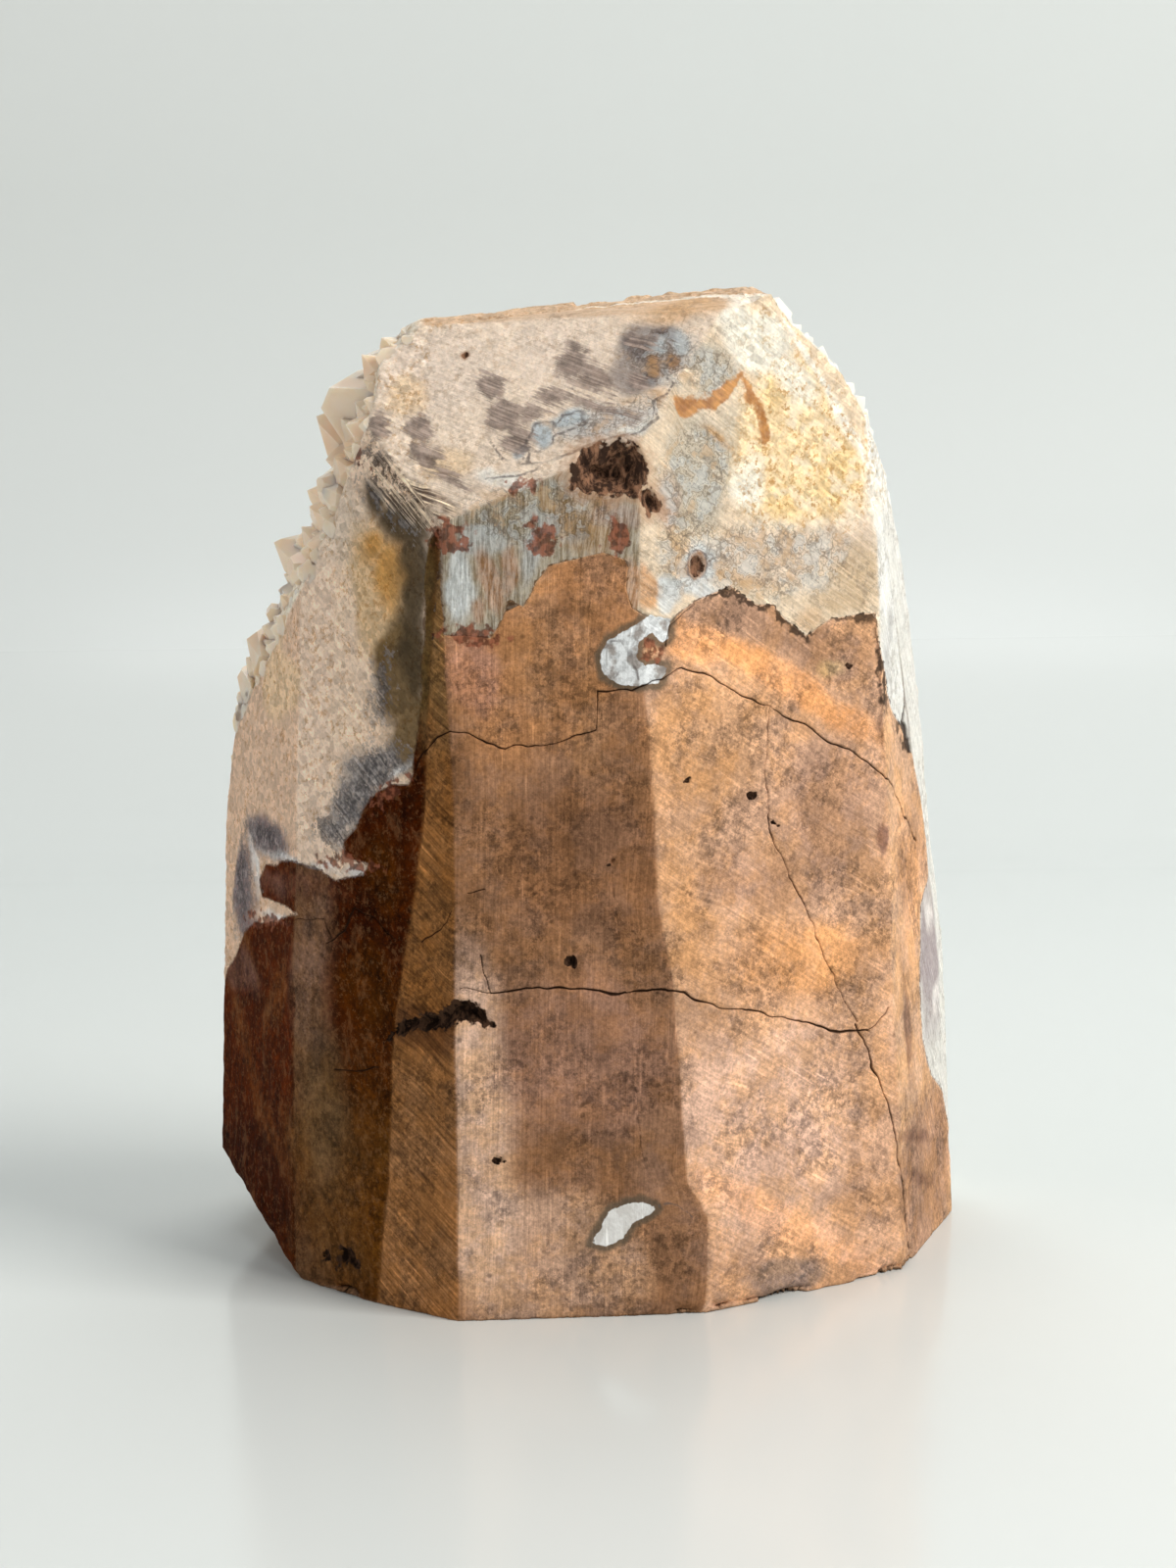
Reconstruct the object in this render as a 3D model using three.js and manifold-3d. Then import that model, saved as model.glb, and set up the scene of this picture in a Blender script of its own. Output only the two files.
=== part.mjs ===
// Citrine cluster on its host rock: a free-standing piece of crystal-pocket wall.
// The wall is sawn flat below and ground to long facets in front and at the sides.
// Brown host rock carries a pale quartz crust, and six-sided citrine points cover the
// crust's natural surfaces: the back, the left shoulder and the rims.
// Millimetres, +Z up, front facets facing -Y, standing on the sawn base.

import * as THREE from 'three';
import { ConvexGeometry } from 'three/addons/geometries/ConvexGeometry.js';
import { mergeVertices } from 'three/addons/utils/BufferGeometryUtils.js';
import Module from 'manifold-3d';

// ---- Driving dimensions -------------------------------------------------

const CONTACT_GAP = 0.3; // clearance between rock and crust along their contact
const OVERCUT = 6; // how far cutting bodies reach past what they cut
const CRYSTAL_SEED = 41;
const CRYSTAL_COUNT = 210;
const CRYSTAL_TRIES = 9000;
const CRYSTAL_RADIUS = { rim: 1.6, middle: 5 }; // across the corners, halved
const CRYSTAL_CROWDING = 0.8; // spacing of neighbours, as a share of their radii
const CRYSTAL_LEAN = 0.42; // most that an axis leans from the surface normal, radians
const PRISM_HEIGHT = { least: 0.1, most: 0.8 }; // in radii, above the crust
const TIP_HEIGHT = 1.2; // pyramid height in radii
const ROOT_DEPTH = 1.1; // in radii, below the crust surface
const RIM_MARGIN = 0.4; // in radii, how near a crystal's centre comes to a facet edge
const MIDDLE_OF_BACK = new THREE.Vector3(0, 22, 38);
const MIDDLE_REACH = 62; // distance over which the crystals shrink to rim size

// A facet is a plane. yaw turns its outward normal from -Y towards +X, lean tips it
// towards +Z, both in degrees, and through is a point on it.
const GROUND_FACETS = [
  { yaw: 3, lean: 0, through: [-14.9, -26.4, 0] }, // broad front
  { yaw: -35, lean: 0, through: [-14.9, -26.4, 0] }, // narrow strip on its left
  { yaw: -41, lean: 0.8, through: [-23.9, -20.1, 2.5] },
  { yaw: -46, lean: 0.9, through: [-29.3, -15.5, 0] },
  { yaw: -62, lean: 1.5, through: [-34.3, -10.2, 0.6] }, // left front
  { yaw: -106, lean: 3, through: [-45, 10.4, 9.5] }, // left side
  { yaw: 31, lean: 2.6, through: [12.2, -25.7, 0] }, // broad right front
  { yaw: 25, lean: -1.5, through: [11.5, -25.7, 0] }, // its lowest bevel
  { yaw: 68.7, lean: 2.2, through: [43.8, 11.7, 0] }, // right
  { yaw: 104, lean: 2, through: [43.8, 11.7, 0] }, // right side
  { yaw: -10.4, lean: 30, through: [-5, -25.9, 89.3] }, // sloping upper front
  { yaw: -14, lean: 67, through: [0, -16.2, 107] }, // top bevel
  { yaw: -90, lean: -50, through: [-34.3, -10.2, 0.6] }, // undercut, lower left
  { yaw: 0, lean: -90, through: [0, 0, 0] }, // sawn base
];

const DRUSE_FACETS = [
  { yaw: -77.2, lean: 19.6, through: [-30.6, -9.4, 81.4] }, // left shoulder
  { yaw: -62, lean: 50, through: [-19.6, -14.8, 104.2] }, // above it
  { yaw: 100, lean: 46.6, through: [24.9, -12.4, 104.6] }, // right shoulder
  { yaw: 97, lean: 28.3, through: [30.9, -9.1, 97.5] },
  { yaw: 96, lean: 8.5, through: [37, 4.2, 75.9] }, // right flank
  { yaw: 180, lean: 20, through: [0, -9.4, 108.2] }, // back
  { yaw: -138, lean: 15, through: [-33.5, 36.4, 0] }, // back corners
  { yaw: 138, lean: 15, through: [33, 36, 0] },
  { yaw: 187, lean: 52, through: [0, -12, 109.2] }, // rim behind the top
];

// The rock ends at these planes, inside the crust.
const CONTACT_FACETS = [
  { yaw: -170.2, lean: 41.3, through: [0, -26.4, 77.6] },
  { yaw: 180, lean: 17, through: [0, 19.8, 0] },
];

// ---- Materials ----------------------------------------------------------

const rockMaterial = new THREE.MeshStandardMaterial({
  color: 0x8a5a3c,
  roughness: 0.85,
  metalness: 0,
});
const crystalMaterial = new THREE.MeshStandardMaterial({
  color: 0xe6d6b8,
  roughness: 0.3,
  metalness: 0,
});

// ---- Solids from planes -------------------------------------------------

const wasm = await Module();
wasm.setup();

function planeOf({ yaw, lean, through }) {
  const turn = THREE.MathUtils.degToRad(yaw);
  const tip = THREE.MathUtils.degToRad(lean);
  const normal = new THREE.Vector3(
    Math.sin(turn) * Math.cos(tip),
    -Math.cos(turn) * Math.cos(tip),
    Math.sin(tip),
  );
  return new THREE.Plane().setFromNormalAndCoplanarPoint(normal, new THREE.Vector3(...through));
}

function movedOut(plane, distance) {
  return new THREE.Plane(plane.normal.clone(), plane.constant - distance);
}

// The corner where three planes meet, or null where they have none.
function cornerOf(a, b, c) {
  const bc = new THREE.Vector3().crossVectors(b.normal, c.normal);
  const ca = new THREE.Vector3().crossVectors(c.normal, a.normal);
  const ab = new THREE.Vector3().crossVectors(a.normal, b.normal);
  const volume = a.normal.dot(bc);
  if (Math.abs(volume) < 1e-4) return null;
  return new THREE.Vector3()
    .addScaledVector(bc, -a.constant)
    .addScaledVector(ca, -b.constant)
    .addScaledVector(ab, -c.constant)
    .divideScalar(volume);
}

function isInside(point, planes, margin = 0) {
  return planes.every((plane) => plane.distanceToPoint(point) <= -margin + 1e-6);
}

// The convex solid that lies behind every plane.
function solidBehind(planes) {
  const corners = [];
  for (let i = 0; i < planes.length; i += 1) {
    for (let j = i + 1; j < planes.length; j += 1) {
      for (let k = j + 1; k < planes.length; k += 1) {
        const corner = cornerOf(planes[i], planes[j], planes[k]);
        if (corner === null || !isInside(corner, planes)) continue;
        if (corners.every((other) => other.distanceTo(corner) > 1e-3)) corners.push(corner);
      }
    }
  }
  return toSolid(new ConvexGeometry(corners));
}

function toSolid(geometry) {
  const bare = geometry.clone();
  bare.deleteAttribute('normal');
  bare.deleteAttribute('uv');
  const merged = mergeVertices(bare, 1e-4);
  return new wasm.Manifold(
    new wasm.Mesh({
      numProp: 3,
      vertProperties: new Float32Array(merged.attributes.position.array),
      triVerts: new Uint32Array(merged.index.array),
    }),
  );
}

function toNode(solid, name, material) {
  const { vertProperties, triVerts } = solid.getMesh();
  const geometry = new THREE.BufferGeometry();
  geometry.setAttribute('position', new THREE.BufferAttribute(vertProperties, 3));
  geometry.setIndex(new THREE.BufferAttribute(triVerts, 1));
  geometry.computeVertexNormals();
  const mesh = new THREE.Mesh(geometry, material);
  mesh.name = name;
  return mesh;
}

// ---- Crystals -----------------------------------------------------------

// A repeatable stream of numbers from 0 to 1.
function numberStream(seed) {
  let state = seed;
  return () => {
    state = (Math.imul(state, 1664525) + 1013904223) >>> 0;
    return state / 4294967296;
  };
}

// A six-sided prism with a pyramid on it, its root below the origin and its axis on +Z.
function crystalGeometry(radius, prismHeight) {
  const points = [new THREE.Vector3(0, 0, radius * (prismHeight + TIP_HEIGHT))];
  for (let side = 0; side < 6; side += 1) {
    const angle = (side * Math.PI) / 3;
    const x = radius * Math.cos(angle);
    const y = radius * Math.sin(angle);
    points.push(new THREE.Vector3(x, y, -radius * ROOT_DEPTH));
    points.push(new THREE.Vector3(x, y, radius * prismHeight));
  }
  return new ConvexGeometry(points);
}

function crystalRadius(centre) {
  const away = Math.min(1, centre.distanceTo(MIDDLE_OF_BACK) / MIDDLE_REACH);
  return THREE.MathUtils.lerp(CRYSTAL_RADIUS.middle, CRYSTAL_RADIUS.rim, away);
}

// Where crystals grow: points on the druse facets, none too near another.
function crystalSites(drusePlanes, allPlanes, box, random) {
  const sites = [];
  const point = new THREE.Vector3();
  for (let attempt = 0; attempt < CRYSTAL_TRIES && sites.length < CRYSTAL_COUNT; attempt += 1) {
    const plane = drusePlanes[Math.floor(random() * drusePlanes.length)];
    point.set(random(), random(), random()).multiply(box.getSize(new THREE.Vector3()));
    point.add(box.min);
    const centre = plane.projectPoint(point, new THREE.Vector3());
    const radius = crystalRadius(centre) * THREE.MathUtils.lerp(0.75, 1.15, random());
    const others = allPlanes.filter((other) => other !== plane);
    const free = sites.every(
      (site) => site.centre.distanceTo(centre) > CRYSTAL_CROWDING * (site.radius + radius),
    );
    if (free && isInside(centre, others, radius * RIM_MARGIN)) {
      sites.push({ centre, radius, normal: plane.normal });
    }
  }
  return sites;
}

function crystalAt({ centre, radius, normal }, random) {
  const lean = new THREE.Vector3(random() - 0.5, random() - 0.5, random() - 0.5);
  const axis = normal.clone().addScaledVector(lean.normalize(), CRYSTAL_LEAN * random());
  const spin = new THREE.Quaternion().setFromAxisAngle(
    new THREE.Vector3(0, 0, 1),
    random() * Math.PI,
  );
  const stand = new THREE.Quaternion().setFromUnitVectors(
    new THREE.Vector3(0, 0, 1),
    axis.normalize(),
  );
  const prismHeight = THREE.MathUtils.lerp(PRISM_HEIGHT.least, PRISM_HEIGHT.most, random());
  const geometry = crystalGeometry(radius, prismHeight);
  geometry.applyQuaternion(stand.multiply(spin));
  geometry.translate(centre.x, centre.y, centre.z);
  return toSolid(geometry);
}

// ---- The two pieces -----------------------------------------------------

const groundPlanes = GROUND_FACETS.map(planeOf);
const drusePlanes = DRUSE_FACETS.map(planeOf);
const contactPlanes = CONTACT_FACETS.map(planeOf);

// Host rock: behind the ground facets and the contact with the crust.
function buildHostRock() {
  return solidBehind([...groundPlanes, ...drusePlanes, ...contactPlanes]);
}

// Quartz crust: the rest of the block, with its crystals, ground off with the rock.
function buildCrystalCrust() {
  const allPlanes = [...groundPlanes, ...drusePlanes];
  const block = solidBehind(allPlanes);
  const rockSpace = solidBehind([
    ...[...groundPlanes, ...drusePlanes].map((plane) => movedOut(plane, OVERCUT)),
    ...contactPlanes.map((plane) => movedOut(plane, CONTACT_GAP)),
  ]);
  const groundSpace = solidBehind([
    ...groundPlanes,
    ...drusePlanes.map((plane) => movedOut(plane, 2 * OVERCUT)),
  ]);
  const { min, max } = block.boundingBox();
  const box = new THREE.Box3(new THREE.Vector3(...min), new THREE.Vector3(...max));
  const random = numberStream(CRYSTAL_SEED);
  let crust = block;
  for (const site of crystalSites(drusePlanes, allPlanes, box, random)) {
    crust = crust.add(crystalAt(site, random));
  }
  return crust.intersect(groundSpace).subtract(rockSpace);
}

const cluster = new THREE.Group();
cluster.add(toNode(buildHostRock(), 'host_rock', rockMaterial));
cluster.add(toNode(buildCrystalCrust(), 'crystal_crust', crystalMaterial));

// The origin is on the base, below the middle of the whole piece.
const whole = new THREE.Box3().setFromObject(cluster);
const middle = whole.getCenter(new THREE.Vector3());
cluster.position.set(-middle.x, -middle.y, -whole.min.z);
cluster.updateMatrixWorld(true);

export default cluster;
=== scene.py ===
"""Looks of a citrine cluster on its host rock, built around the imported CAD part.

The piece is a section of a crystal pocket's wall: brown host rock ground to long facets, a pale
quartz crust over it, and citrine points on the crust's natural surfaces. The script works in
millimetres, in the part's own frame, until a mesh is handed to Blender. Places on the ground
facets are (across, up) in hundredths of the piece's height, seen from the front: across from
the middle of the base and up from it.
"""

import math

import bpy
import numpy as np
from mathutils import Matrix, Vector
from mathutils.geometry import delaunay_2d_cdt


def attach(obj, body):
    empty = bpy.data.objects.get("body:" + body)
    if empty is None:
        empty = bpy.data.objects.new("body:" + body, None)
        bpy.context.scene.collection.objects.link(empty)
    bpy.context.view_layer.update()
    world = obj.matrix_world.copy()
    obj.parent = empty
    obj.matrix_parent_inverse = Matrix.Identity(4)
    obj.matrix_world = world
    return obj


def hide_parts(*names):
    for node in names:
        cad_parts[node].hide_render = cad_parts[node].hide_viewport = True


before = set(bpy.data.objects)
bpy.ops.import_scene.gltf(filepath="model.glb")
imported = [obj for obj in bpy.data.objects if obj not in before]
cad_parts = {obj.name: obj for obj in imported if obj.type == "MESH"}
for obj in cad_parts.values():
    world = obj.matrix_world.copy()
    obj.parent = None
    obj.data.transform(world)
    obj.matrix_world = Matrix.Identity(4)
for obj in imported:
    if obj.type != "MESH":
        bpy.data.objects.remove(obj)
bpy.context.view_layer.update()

MM = 0.001
HEIGHT = max(corner[2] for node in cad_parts.values() for corner in node.bound_box) / MM
UNIT = HEIGHT / 100  # the unit of places on the facets, in millimetres

# ---- The facets ----------------------------------------------------------
# Each facet faces yaw degrees from -Y towards +X and lean degrees towards +Z, as in the CAD
# part. Its distance from the origin is measured on the CAD part.

GROUND = {
    "front": (3, 0),
    "strip": (-35, 0),
    "left_a": (-41, 0.8),
    "left_b": (-46, 0.9),
    "left_front": (-62, 1.5),
    "left_side": (-106, 3),
    "right_front": (31, 2.6),
    "right_low": (25, -1.5),
    "right": (68.7, 2.2),
    "right_side": (104, 2),
    "slope": (-10.4, 30),
    "top": (-14, 67),
    "undercut": (-90, -50),
    "base": (0, -90),
}
NATURAL = {
    "shoulder": (-77.2, 19.6),
    "shoulder_top": (-62, 50),
    "right_shoulder": (100, 46.6),
    "right_shoulder_low": (97, 28.3),
    "right_flank": (96, 8.5),
    "back": (180, 20),
    "corner_left": (-138, 15),
    "corner_right": (138, 15),
    "back_rim": (187, 52),
}
FACETS = {**GROUND, **NATURAL}
NAMES = list(FACETS)
FRONT = (  # the facets that the outlines and marks below lie on
    "front", "strip", "left_a", "left_b", "left_front", "right_front", "right_low", "right",
    "slope", "top",
)

# How far parts of a facet lie outside their plane, as (up, millimetres): the grinding wandered.
WANDER = {
    "right_front": [(0, -0.6), (10, 0), (13.5, -0.4), (16, -0.9), (23, -0.7), (33, -0.5),
                    (42, -0.9), (57, -0.3), (65, -0.4), (76, 0.1), (85, 0.6)],
    "right_low": [(0, -0.5), (10, 0)],
    "strip": [(0, 0), (33, -0.5), (52, -0.5), (63, -0.1), (77, 0)],
    "left_a": [(0, 0), (24, -0.2), (33, -0.4), (52, -0.45), (63, -0.1), (77, 0)],
    "left_b": [(0, 0), (33, -0.25), (52, -0.3), (70, -0.25)],
}

# ---- Noise ---------------------------------------------------------------

LATTICE_SIZE = 64
LATTICE = np.random.default_rng(seed=3).random((LATTICE_SIZE,) * 3)
SEED_SHIFT = np.array([11, 23, 37])  # from one seed's place in the lattice to the next one's


def lattice(cell, seed):
    """A number from 0 to 1 for each cell of whole numbers."""
    i, j, k = ((cell + seed * SEED_SHIFT) % LATTICE_SIZE).T
    return LATTICE[i, j, k]


def smooth(value):
    """The smooth step from 0 to 1."""
    t = np.clip(value, 0, 1)
    return t * t * (3 - 2 * t)


def noise(points, size, seed, octaves=1):
    """Smooth noise from -1 to 1 whose marks are about size millimetres across."""
    total, most = 0, 0
    for octave in range(octaves):
        scaled = points * (2**octave / size)
        cell = np.floor(scaled).astype(int)
        x, y, z = smooth(scaled - cell).T
        value = 0
        for i, j, k in np.ndindex(2, 2, 2):
            share = (x if i else 1 - x) * (y if j else 1 - y) * (z if k else 1 - z)
            value = value + share * lattice(cell + np.array([i, j, k]), seed + octave)
        total = total + (2 * value - 1) * 0.5**octave
        most += 0.5**octave
    return total / most


def grains(points, size, seed):
    """Distance to the middle of the nearest grain, and the gap to the next one, in millimetres."""
    scaled = points / size
    cell = np.floor(scaled).astype(int)
    nearest = np.full(len(points), np.inf)
    second = np.full(len(points), np.inf)
    for step in np.ndindex(3, 3, 3):
        other = cell + np.array(step) - 1
        middle = other + np.stack([lattice(other, seed + k) for k in range(3)], axis=1)
        far = np.linalg.norm(scaled - middle, axis=1)
        second = np.minimum(second, np.maximum(nearest, far))
        nearest = np.minimum(nearest, far)
    return nearest * size, (second - nearest) * size


# ---- Convex solids from planes -------------------------------------------

TOUCH = 1e-6  # a point so near to a plane is on it, in millimetres
FAR = 400.0  # half a side of a face before it is clipped, in millimetres
HARDLY_TILTED = 0.05  # below this sine, a facet has no level direction of its own
SAME_FACING = 0.6  # between a facet and the triangles that belong to it, in degrees
LEAST_AREA = 1e-12  # keeps empty triangles from dividing by zero


def direction(yaw, lean):
    """The outward direction of a facet."""
    turn, tip = math.radians(yaw), math.radians(lean)
    return np.array(
        [math.sin(turn) * math.cos(tip), -math.cos(turn) * math.cos(tip), math.sin(tip)]
    )


def frame_of(normal):
    """Two directions in a plane: level, and up the plane."""
    level = np.cross((0.0, 0.0, 1.0), normal)
    if np.linalg.norm(level) < HARDLY_TILTED:
        level = np.array([1.0, 0.0, 0.0])
    level /= np.linalg.norm(level)
    return level, np.cross(normal, level)


def clipped(polygon, normal, distance):
    """The part of a convex polygon that lies behind a plane."""
    height = polygon @ normal - distance
    if (height <= TOUCH).all():
        return polygon
    if (height >= -TOUCH).all():
        return polygon[:0]
    kept = []
    for i, (a, ha) in enumerate(zip(polygon, height)):
        b, hb = polygon[(i + 1) % len(polygon)], height[(i + 1) % len(polygon)]
        if ha <= 0:
            kept.append(a)
        if ha * hb < 0:
            kept.append(a + (b - a) * (ha / (ha - hb)))
    return np.array(kept)


def faces_of(normals, distances, centre):
    """The faces of the convex solid behind the planes, as (plane number, polygon) pairs."""
    faces = []
    for i, (normal, distance) in enumerate(zip(normals, distances)):
        level, rise = frame_of(normal)
        middle = centre + normal * (distance - centre @ normal)
        square = [(-FAR, -FAR), (FAR, -FAR), (FAR, FAR), (-FAR, FAR)]
        polygon = np.array([middle + level * u + rise * v for u, v in square])
        for j, (other, reach) in enumerate(zip(normals, distances)):
            if j != i:
                polygon = clipped(polygon, other, reach)
            if len(polygon) < 3:
                break
        if len(polygon) >= 3:
            faces.append((i, polygon))
    return faces


def fanned(polygons, merge):
    """(points, triangles, polygon number of each triangle) of convex polygons, whose corners
    are one point where they are nearer than merge, in millimetres."""
    points, triangles, owner = [], [], []
    for number, polygon in enumerate(polygons):
        start = len(points)
        points.extend(polygon)
        for k in range(1, len(polygon) - 1):
            triangles.append((start, start + k, start + k + 1))
            owner.append(number)
    points = np.array(points)
    apart = np.abs(points[:, None] - points[None]).max(axis=2)
    kept, index = np.unique(np.argmax(apart < merge, axis=1), return_inverse=True)
    triangles = index[np.array(triangles)]
    a, b, c = triangles.T
    real = (a != b) & (b != c) & (c != a)
    return points[kept], triangles[real], np.array(owner)[real]


def cad_triangles():
    """All the CAD part's triangles, in millimetres."""
    found = []
    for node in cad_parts.values():
        mesh = node.data
        mesh.calc_loop_triangles()
        points = np.empty(len(mesh.vertices) * 3, np.float32)
        mesh.vertices.foreach_get("co", points)
        corners = np.empty(len(mesh.loop_triangles) * 3, np.int32)
        mesh.loop_triangles.foreach_get("vertices", corners)
        found.append(points.reshape(-1, 3)[corners.reshape(-1, 3)] / MM)
    return np.concatenate(found).astype(float)


def measured_distances(normals):
    """How far each facet's plane is from the origin: the middle of what faces its way."""
    triangles = cad_triangles()
    cross = np.cross(triangles[:, 1] - triangles[:, 0], triangles[:, 2] - triangles[:, 0])
    area = np.linalg.norm(cross, axis=1)
    facing = cross / np.maximum(area, LEAST_AREA)[:, None]
    distances = []
    for normal in normals:
        own = facing @ normal > math.cos(math.radians(SAME_FACING))
        height = triangles[own].mean(axis=1) @ normal
        order = np.argsort(height)
        heaped = np.cumsum(area[own][order])
        distances.append(height[order][np.searchsorted(heaped, heaped[-1] / 2)])
    return np.array(distances)


NORMALS = np.array([direction(*FACETS[name]) for name in NAMES])
DISTANCES = measured_distances(NORMALS)
SPREAD = np.sqrt(np.clip(1 - (NORMALS @ NORMALS.T) ** 2, 1e-4, 1))  # sines between the facets
NUMBER = {name: k for k, name in enumerate(NAMES)}
IS_GROUND = np.array([name in GROUND for name in NAMES])
IS_FRONT = np.array([name in FRONT for name in NAMES])
MIDDLE = np.array([0.0, 0.0, 50.0])  # a place inside the block
BLOCK_FACES = faces_of(NORMALS, DISTANCES, MIDDLE)

# ---- The block's surface as a fine mesh ------------------------------------

SLICE = 10.0  # the first cut of the facets, in millimetres
BLOCK_MERGE, CRYSTAL_MERGE = 1e-3, 1e-4  # corners so near are one, in millimetres
MOST_PASSES = 26  # of halving edges


def sliced(polygon, axis):
    """A convex polygon cut at every SLICE millimetres along an axis."""
    along = np.eye(3)[axis]
    parts = []
    first = math.floor((polygon[:, axis].min() + BLOCK_MERGE) / SLICE)
    last = max(first + 1, math.ceil((polygon[:, axis].max() - BLOCK_MERGE) / SLICE))
    for k in range(first, last):
        part = clipped(polygon, along, (k + 1) * SLICE)
        if len(part) >= 3:
            part = clipped(part, -along, -k * SLICE)
        if len(part) >= 3:
            parts.append(part)
    return parts


def coarse_block():
    """The block as (points, triangles, facet of each triangle)."""
    parts = [
        (number, part)
        for number, polygon in BLOCK_FACES
        for slab in sliced(polygon, axis=2)
        for part in sliced(slab, axis=0)
    ]
    points, triangles, own = fanned([part for _, part in parts], BLOCK_MERGE)
    return points, triangles, np.array([number for number, _ in parts])[own]


def edges_of(triangles, count):
    """Each edge's two points, and the edge on each side of each triangle."""
    pairs = np.stack([triangles, np.roll(triangles, -1, axis=1)], axis=2)
    pairs.sort(axis=2)
    unique, edge = np.unique(pairs[..., 0] * count + pairs[..., 1], return_inverse=True)
    return unique // count, unique % count, edge.reshape(-1, 3)


def refined(points, triangles, facet):
    """The mesh with every edge halved until none is longer than edge_target asks."""
    for _ in range(MOST_PASSES):
        count = len(points)
        a, b, edge = edges_of(triangles, count)
        length = np.linalg.norm(points[a] - points[b], axis=1)
        edge_facet = np.zeros(len(a), int)
        edge_facet[edge.ravel()] = np.repeat(facet, 3)
        marked = length > edge_target((points[a] + points[b]) / 2, length, edge_facet)
        if not marked.any():
            break
        longest = np.argmax(length[edge], axis=1)
        rows = np.arange(len(triangles))
        while True:
            waiting = marked[edge].any(axis=1) & ~marked[edge[rows, longest]]
            if not waiting.any():
                break
            marked[edge[rows[waiting], longest[waiting]]] = True
        added = np.full(len(a), -1)
        added[marked] = count + np.arange(marked.sum())
        points = np.vstack([points, (points[a[marked]] + points[b[marked]]) / 2])
        turn = (longest[:, None] + np.arange(3)) % 3
        v0, v1, v2 = triangles[rows[:, None], turn].T
        m0, m1, m2 = added[edge[rows[:, None], turn]].T
        whole, first, second = m0 < 0, m1 >= 0, m2 >= 0
        cut = ~whole
        parts = [
            (whole, (v0, v1, v2)),
            (cut & second, (v0, m0, m2)),
            (cut & second, (m2, m0, v2)),
            (cut & ~second, (v0, m0, v2)),
            (cut & first, (m0, v1, m1)),
            (cut & first, (m0, m1, v2)),
            (cut & ~first, (m0, v1, v2)),
        ]
        triangles = np.vstack([np.stack([x[own] for x in part], axis=1) for own, part in parts])
        facet = np.concatenate([facet[own] for own, _ in parts])
    return points, triangles, facet


# ---- Places on the facets --------------------------------------------------

CORNER_ACROSS = 40.2  # where the ground front turns into the sides
CORNER_DEPTH = 6.2  # its place along Y at the base, in millimetres
CORNER_LEAN = 0.03  # how fast that place comes forward, going up
CORNER_BEND, CORNER_BEND_UP = 0.3, 35  # how much faster, and from what height
SIDE_TURN = 2.5  # over what depth the turn is made, in millimetres
CALM_DEPTH = 3  # outlines are even from this far behind the corners, in millimetres
REACH = 5.0  # no distance to a line is told beyond this, in millimetres
SHOWN = 3  # no field of marks tells of more than this, in millimetres


def behind_corner(points):
    """How far points are behind the front corners, which run back where the block is thin."""
    _, y, up = points.T
    behind = y - CORNER_DEPTH + CORNER_LEAN * up
    return np.maximum(0, behind + CORNER_BEND * np.maximum(0, up - CORNER_BEND_UP))


def placed(points):
    """(across, up) of points: behind the front corners, across runs on round the sides."""
    x, _, z = points.T / UNIT
    behind = behind_corner(points)
    turned = smooth(behind / SIDE_TURN)
    wide = np.abs(x) + (CORNER_ACROSS - np.abs(x)) * turned + behind / UNIT
    return np.stack([np.where(x < 0, -1, 1) * wide, z], axis=1)


def waver(points, size, seed):
    """A push about one long at most, by noise, and none round the sides."""
    push = np.stack([noise(points, size, seed + k, octaves=2) for k in (0, 50)], axis=1)
    return push * (1 - smooth(behind_corner(points) / CALM_DEPTH))[:, None]


def wavered(places, points, reach, size, seed):
    """Places pushed about by noise, so that outlines drawn through them look natural."""
    return places + reach / UNIT * waver(points, size, seed)


def to_line(places, line):
    """Distance to an open line through a few points, in millimetres, REACH at most."""
    order = np.argsort(places[:, 1])
    across, up = places[order].T
    best = np.full(len(places), REACH / UNIT)
    for (ax, ay), (bx, by) in zip(line[:-1], line[1:]):
        low, high = min(ay, by) - REACH / UNIT, max(ay, by) + REACH / UNIT
        near = slice(*np.searchsorted(up, (low, high)))
        dx, dy, sx, sy = across[near] - ax, up[near] - ay, bx - ax, by - ay
        t = np.clip((dx * sx + dy * sy) / (sx * sx + sy * sy), 0, 1)
        best[near] = np.minimum(best[near], np.hypot(dx - t * sx, dy - t * sy))
    result = np.empty(len(places))
    result[order] = best * UNIT
    return result


def inside_outline(places, outline):
    """Distance inside a closed outline, in millimetres, negative outside it."""
    ring = list(outline) + [outline[0]]
    x, y = places.T
    inside = np.zeros(len(places), bool)
    for (ax, ay), (bx, by) in zip(ring[:-1], ring[1:]):
        if ay != by:
            crosses = (ay > y) != (by > y)
            inside ^= crosses & (x < ax + (y - ay) * (bx - ax) / (by - ay))
    return np.where(inside, 1, -1) * to_line(places, ring)


def inside_spots(places, spots):
    """Distance inside the nearest of several ellipses (across, up, half width, half height,
    tilt in degrees), in millimetres, negative outside them."""
    best = np.full(len(places), -np.inf)
    for across, up, wide, high, tilt in spots:
        turn = math.radians(tilt)
        dx, dy = places[:, 0] - across, places[:, 1] - up
        u = (dx * math.cos(turn) + dy * math.sin(turn)) / wide
        v = (dy * math.cos(turn) - dx * math.sin(turn)) / high
        best = np.maximum(best, (1 - np.hypot(u, v)) * min(wide, high) * UNIT)
    return best


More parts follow.
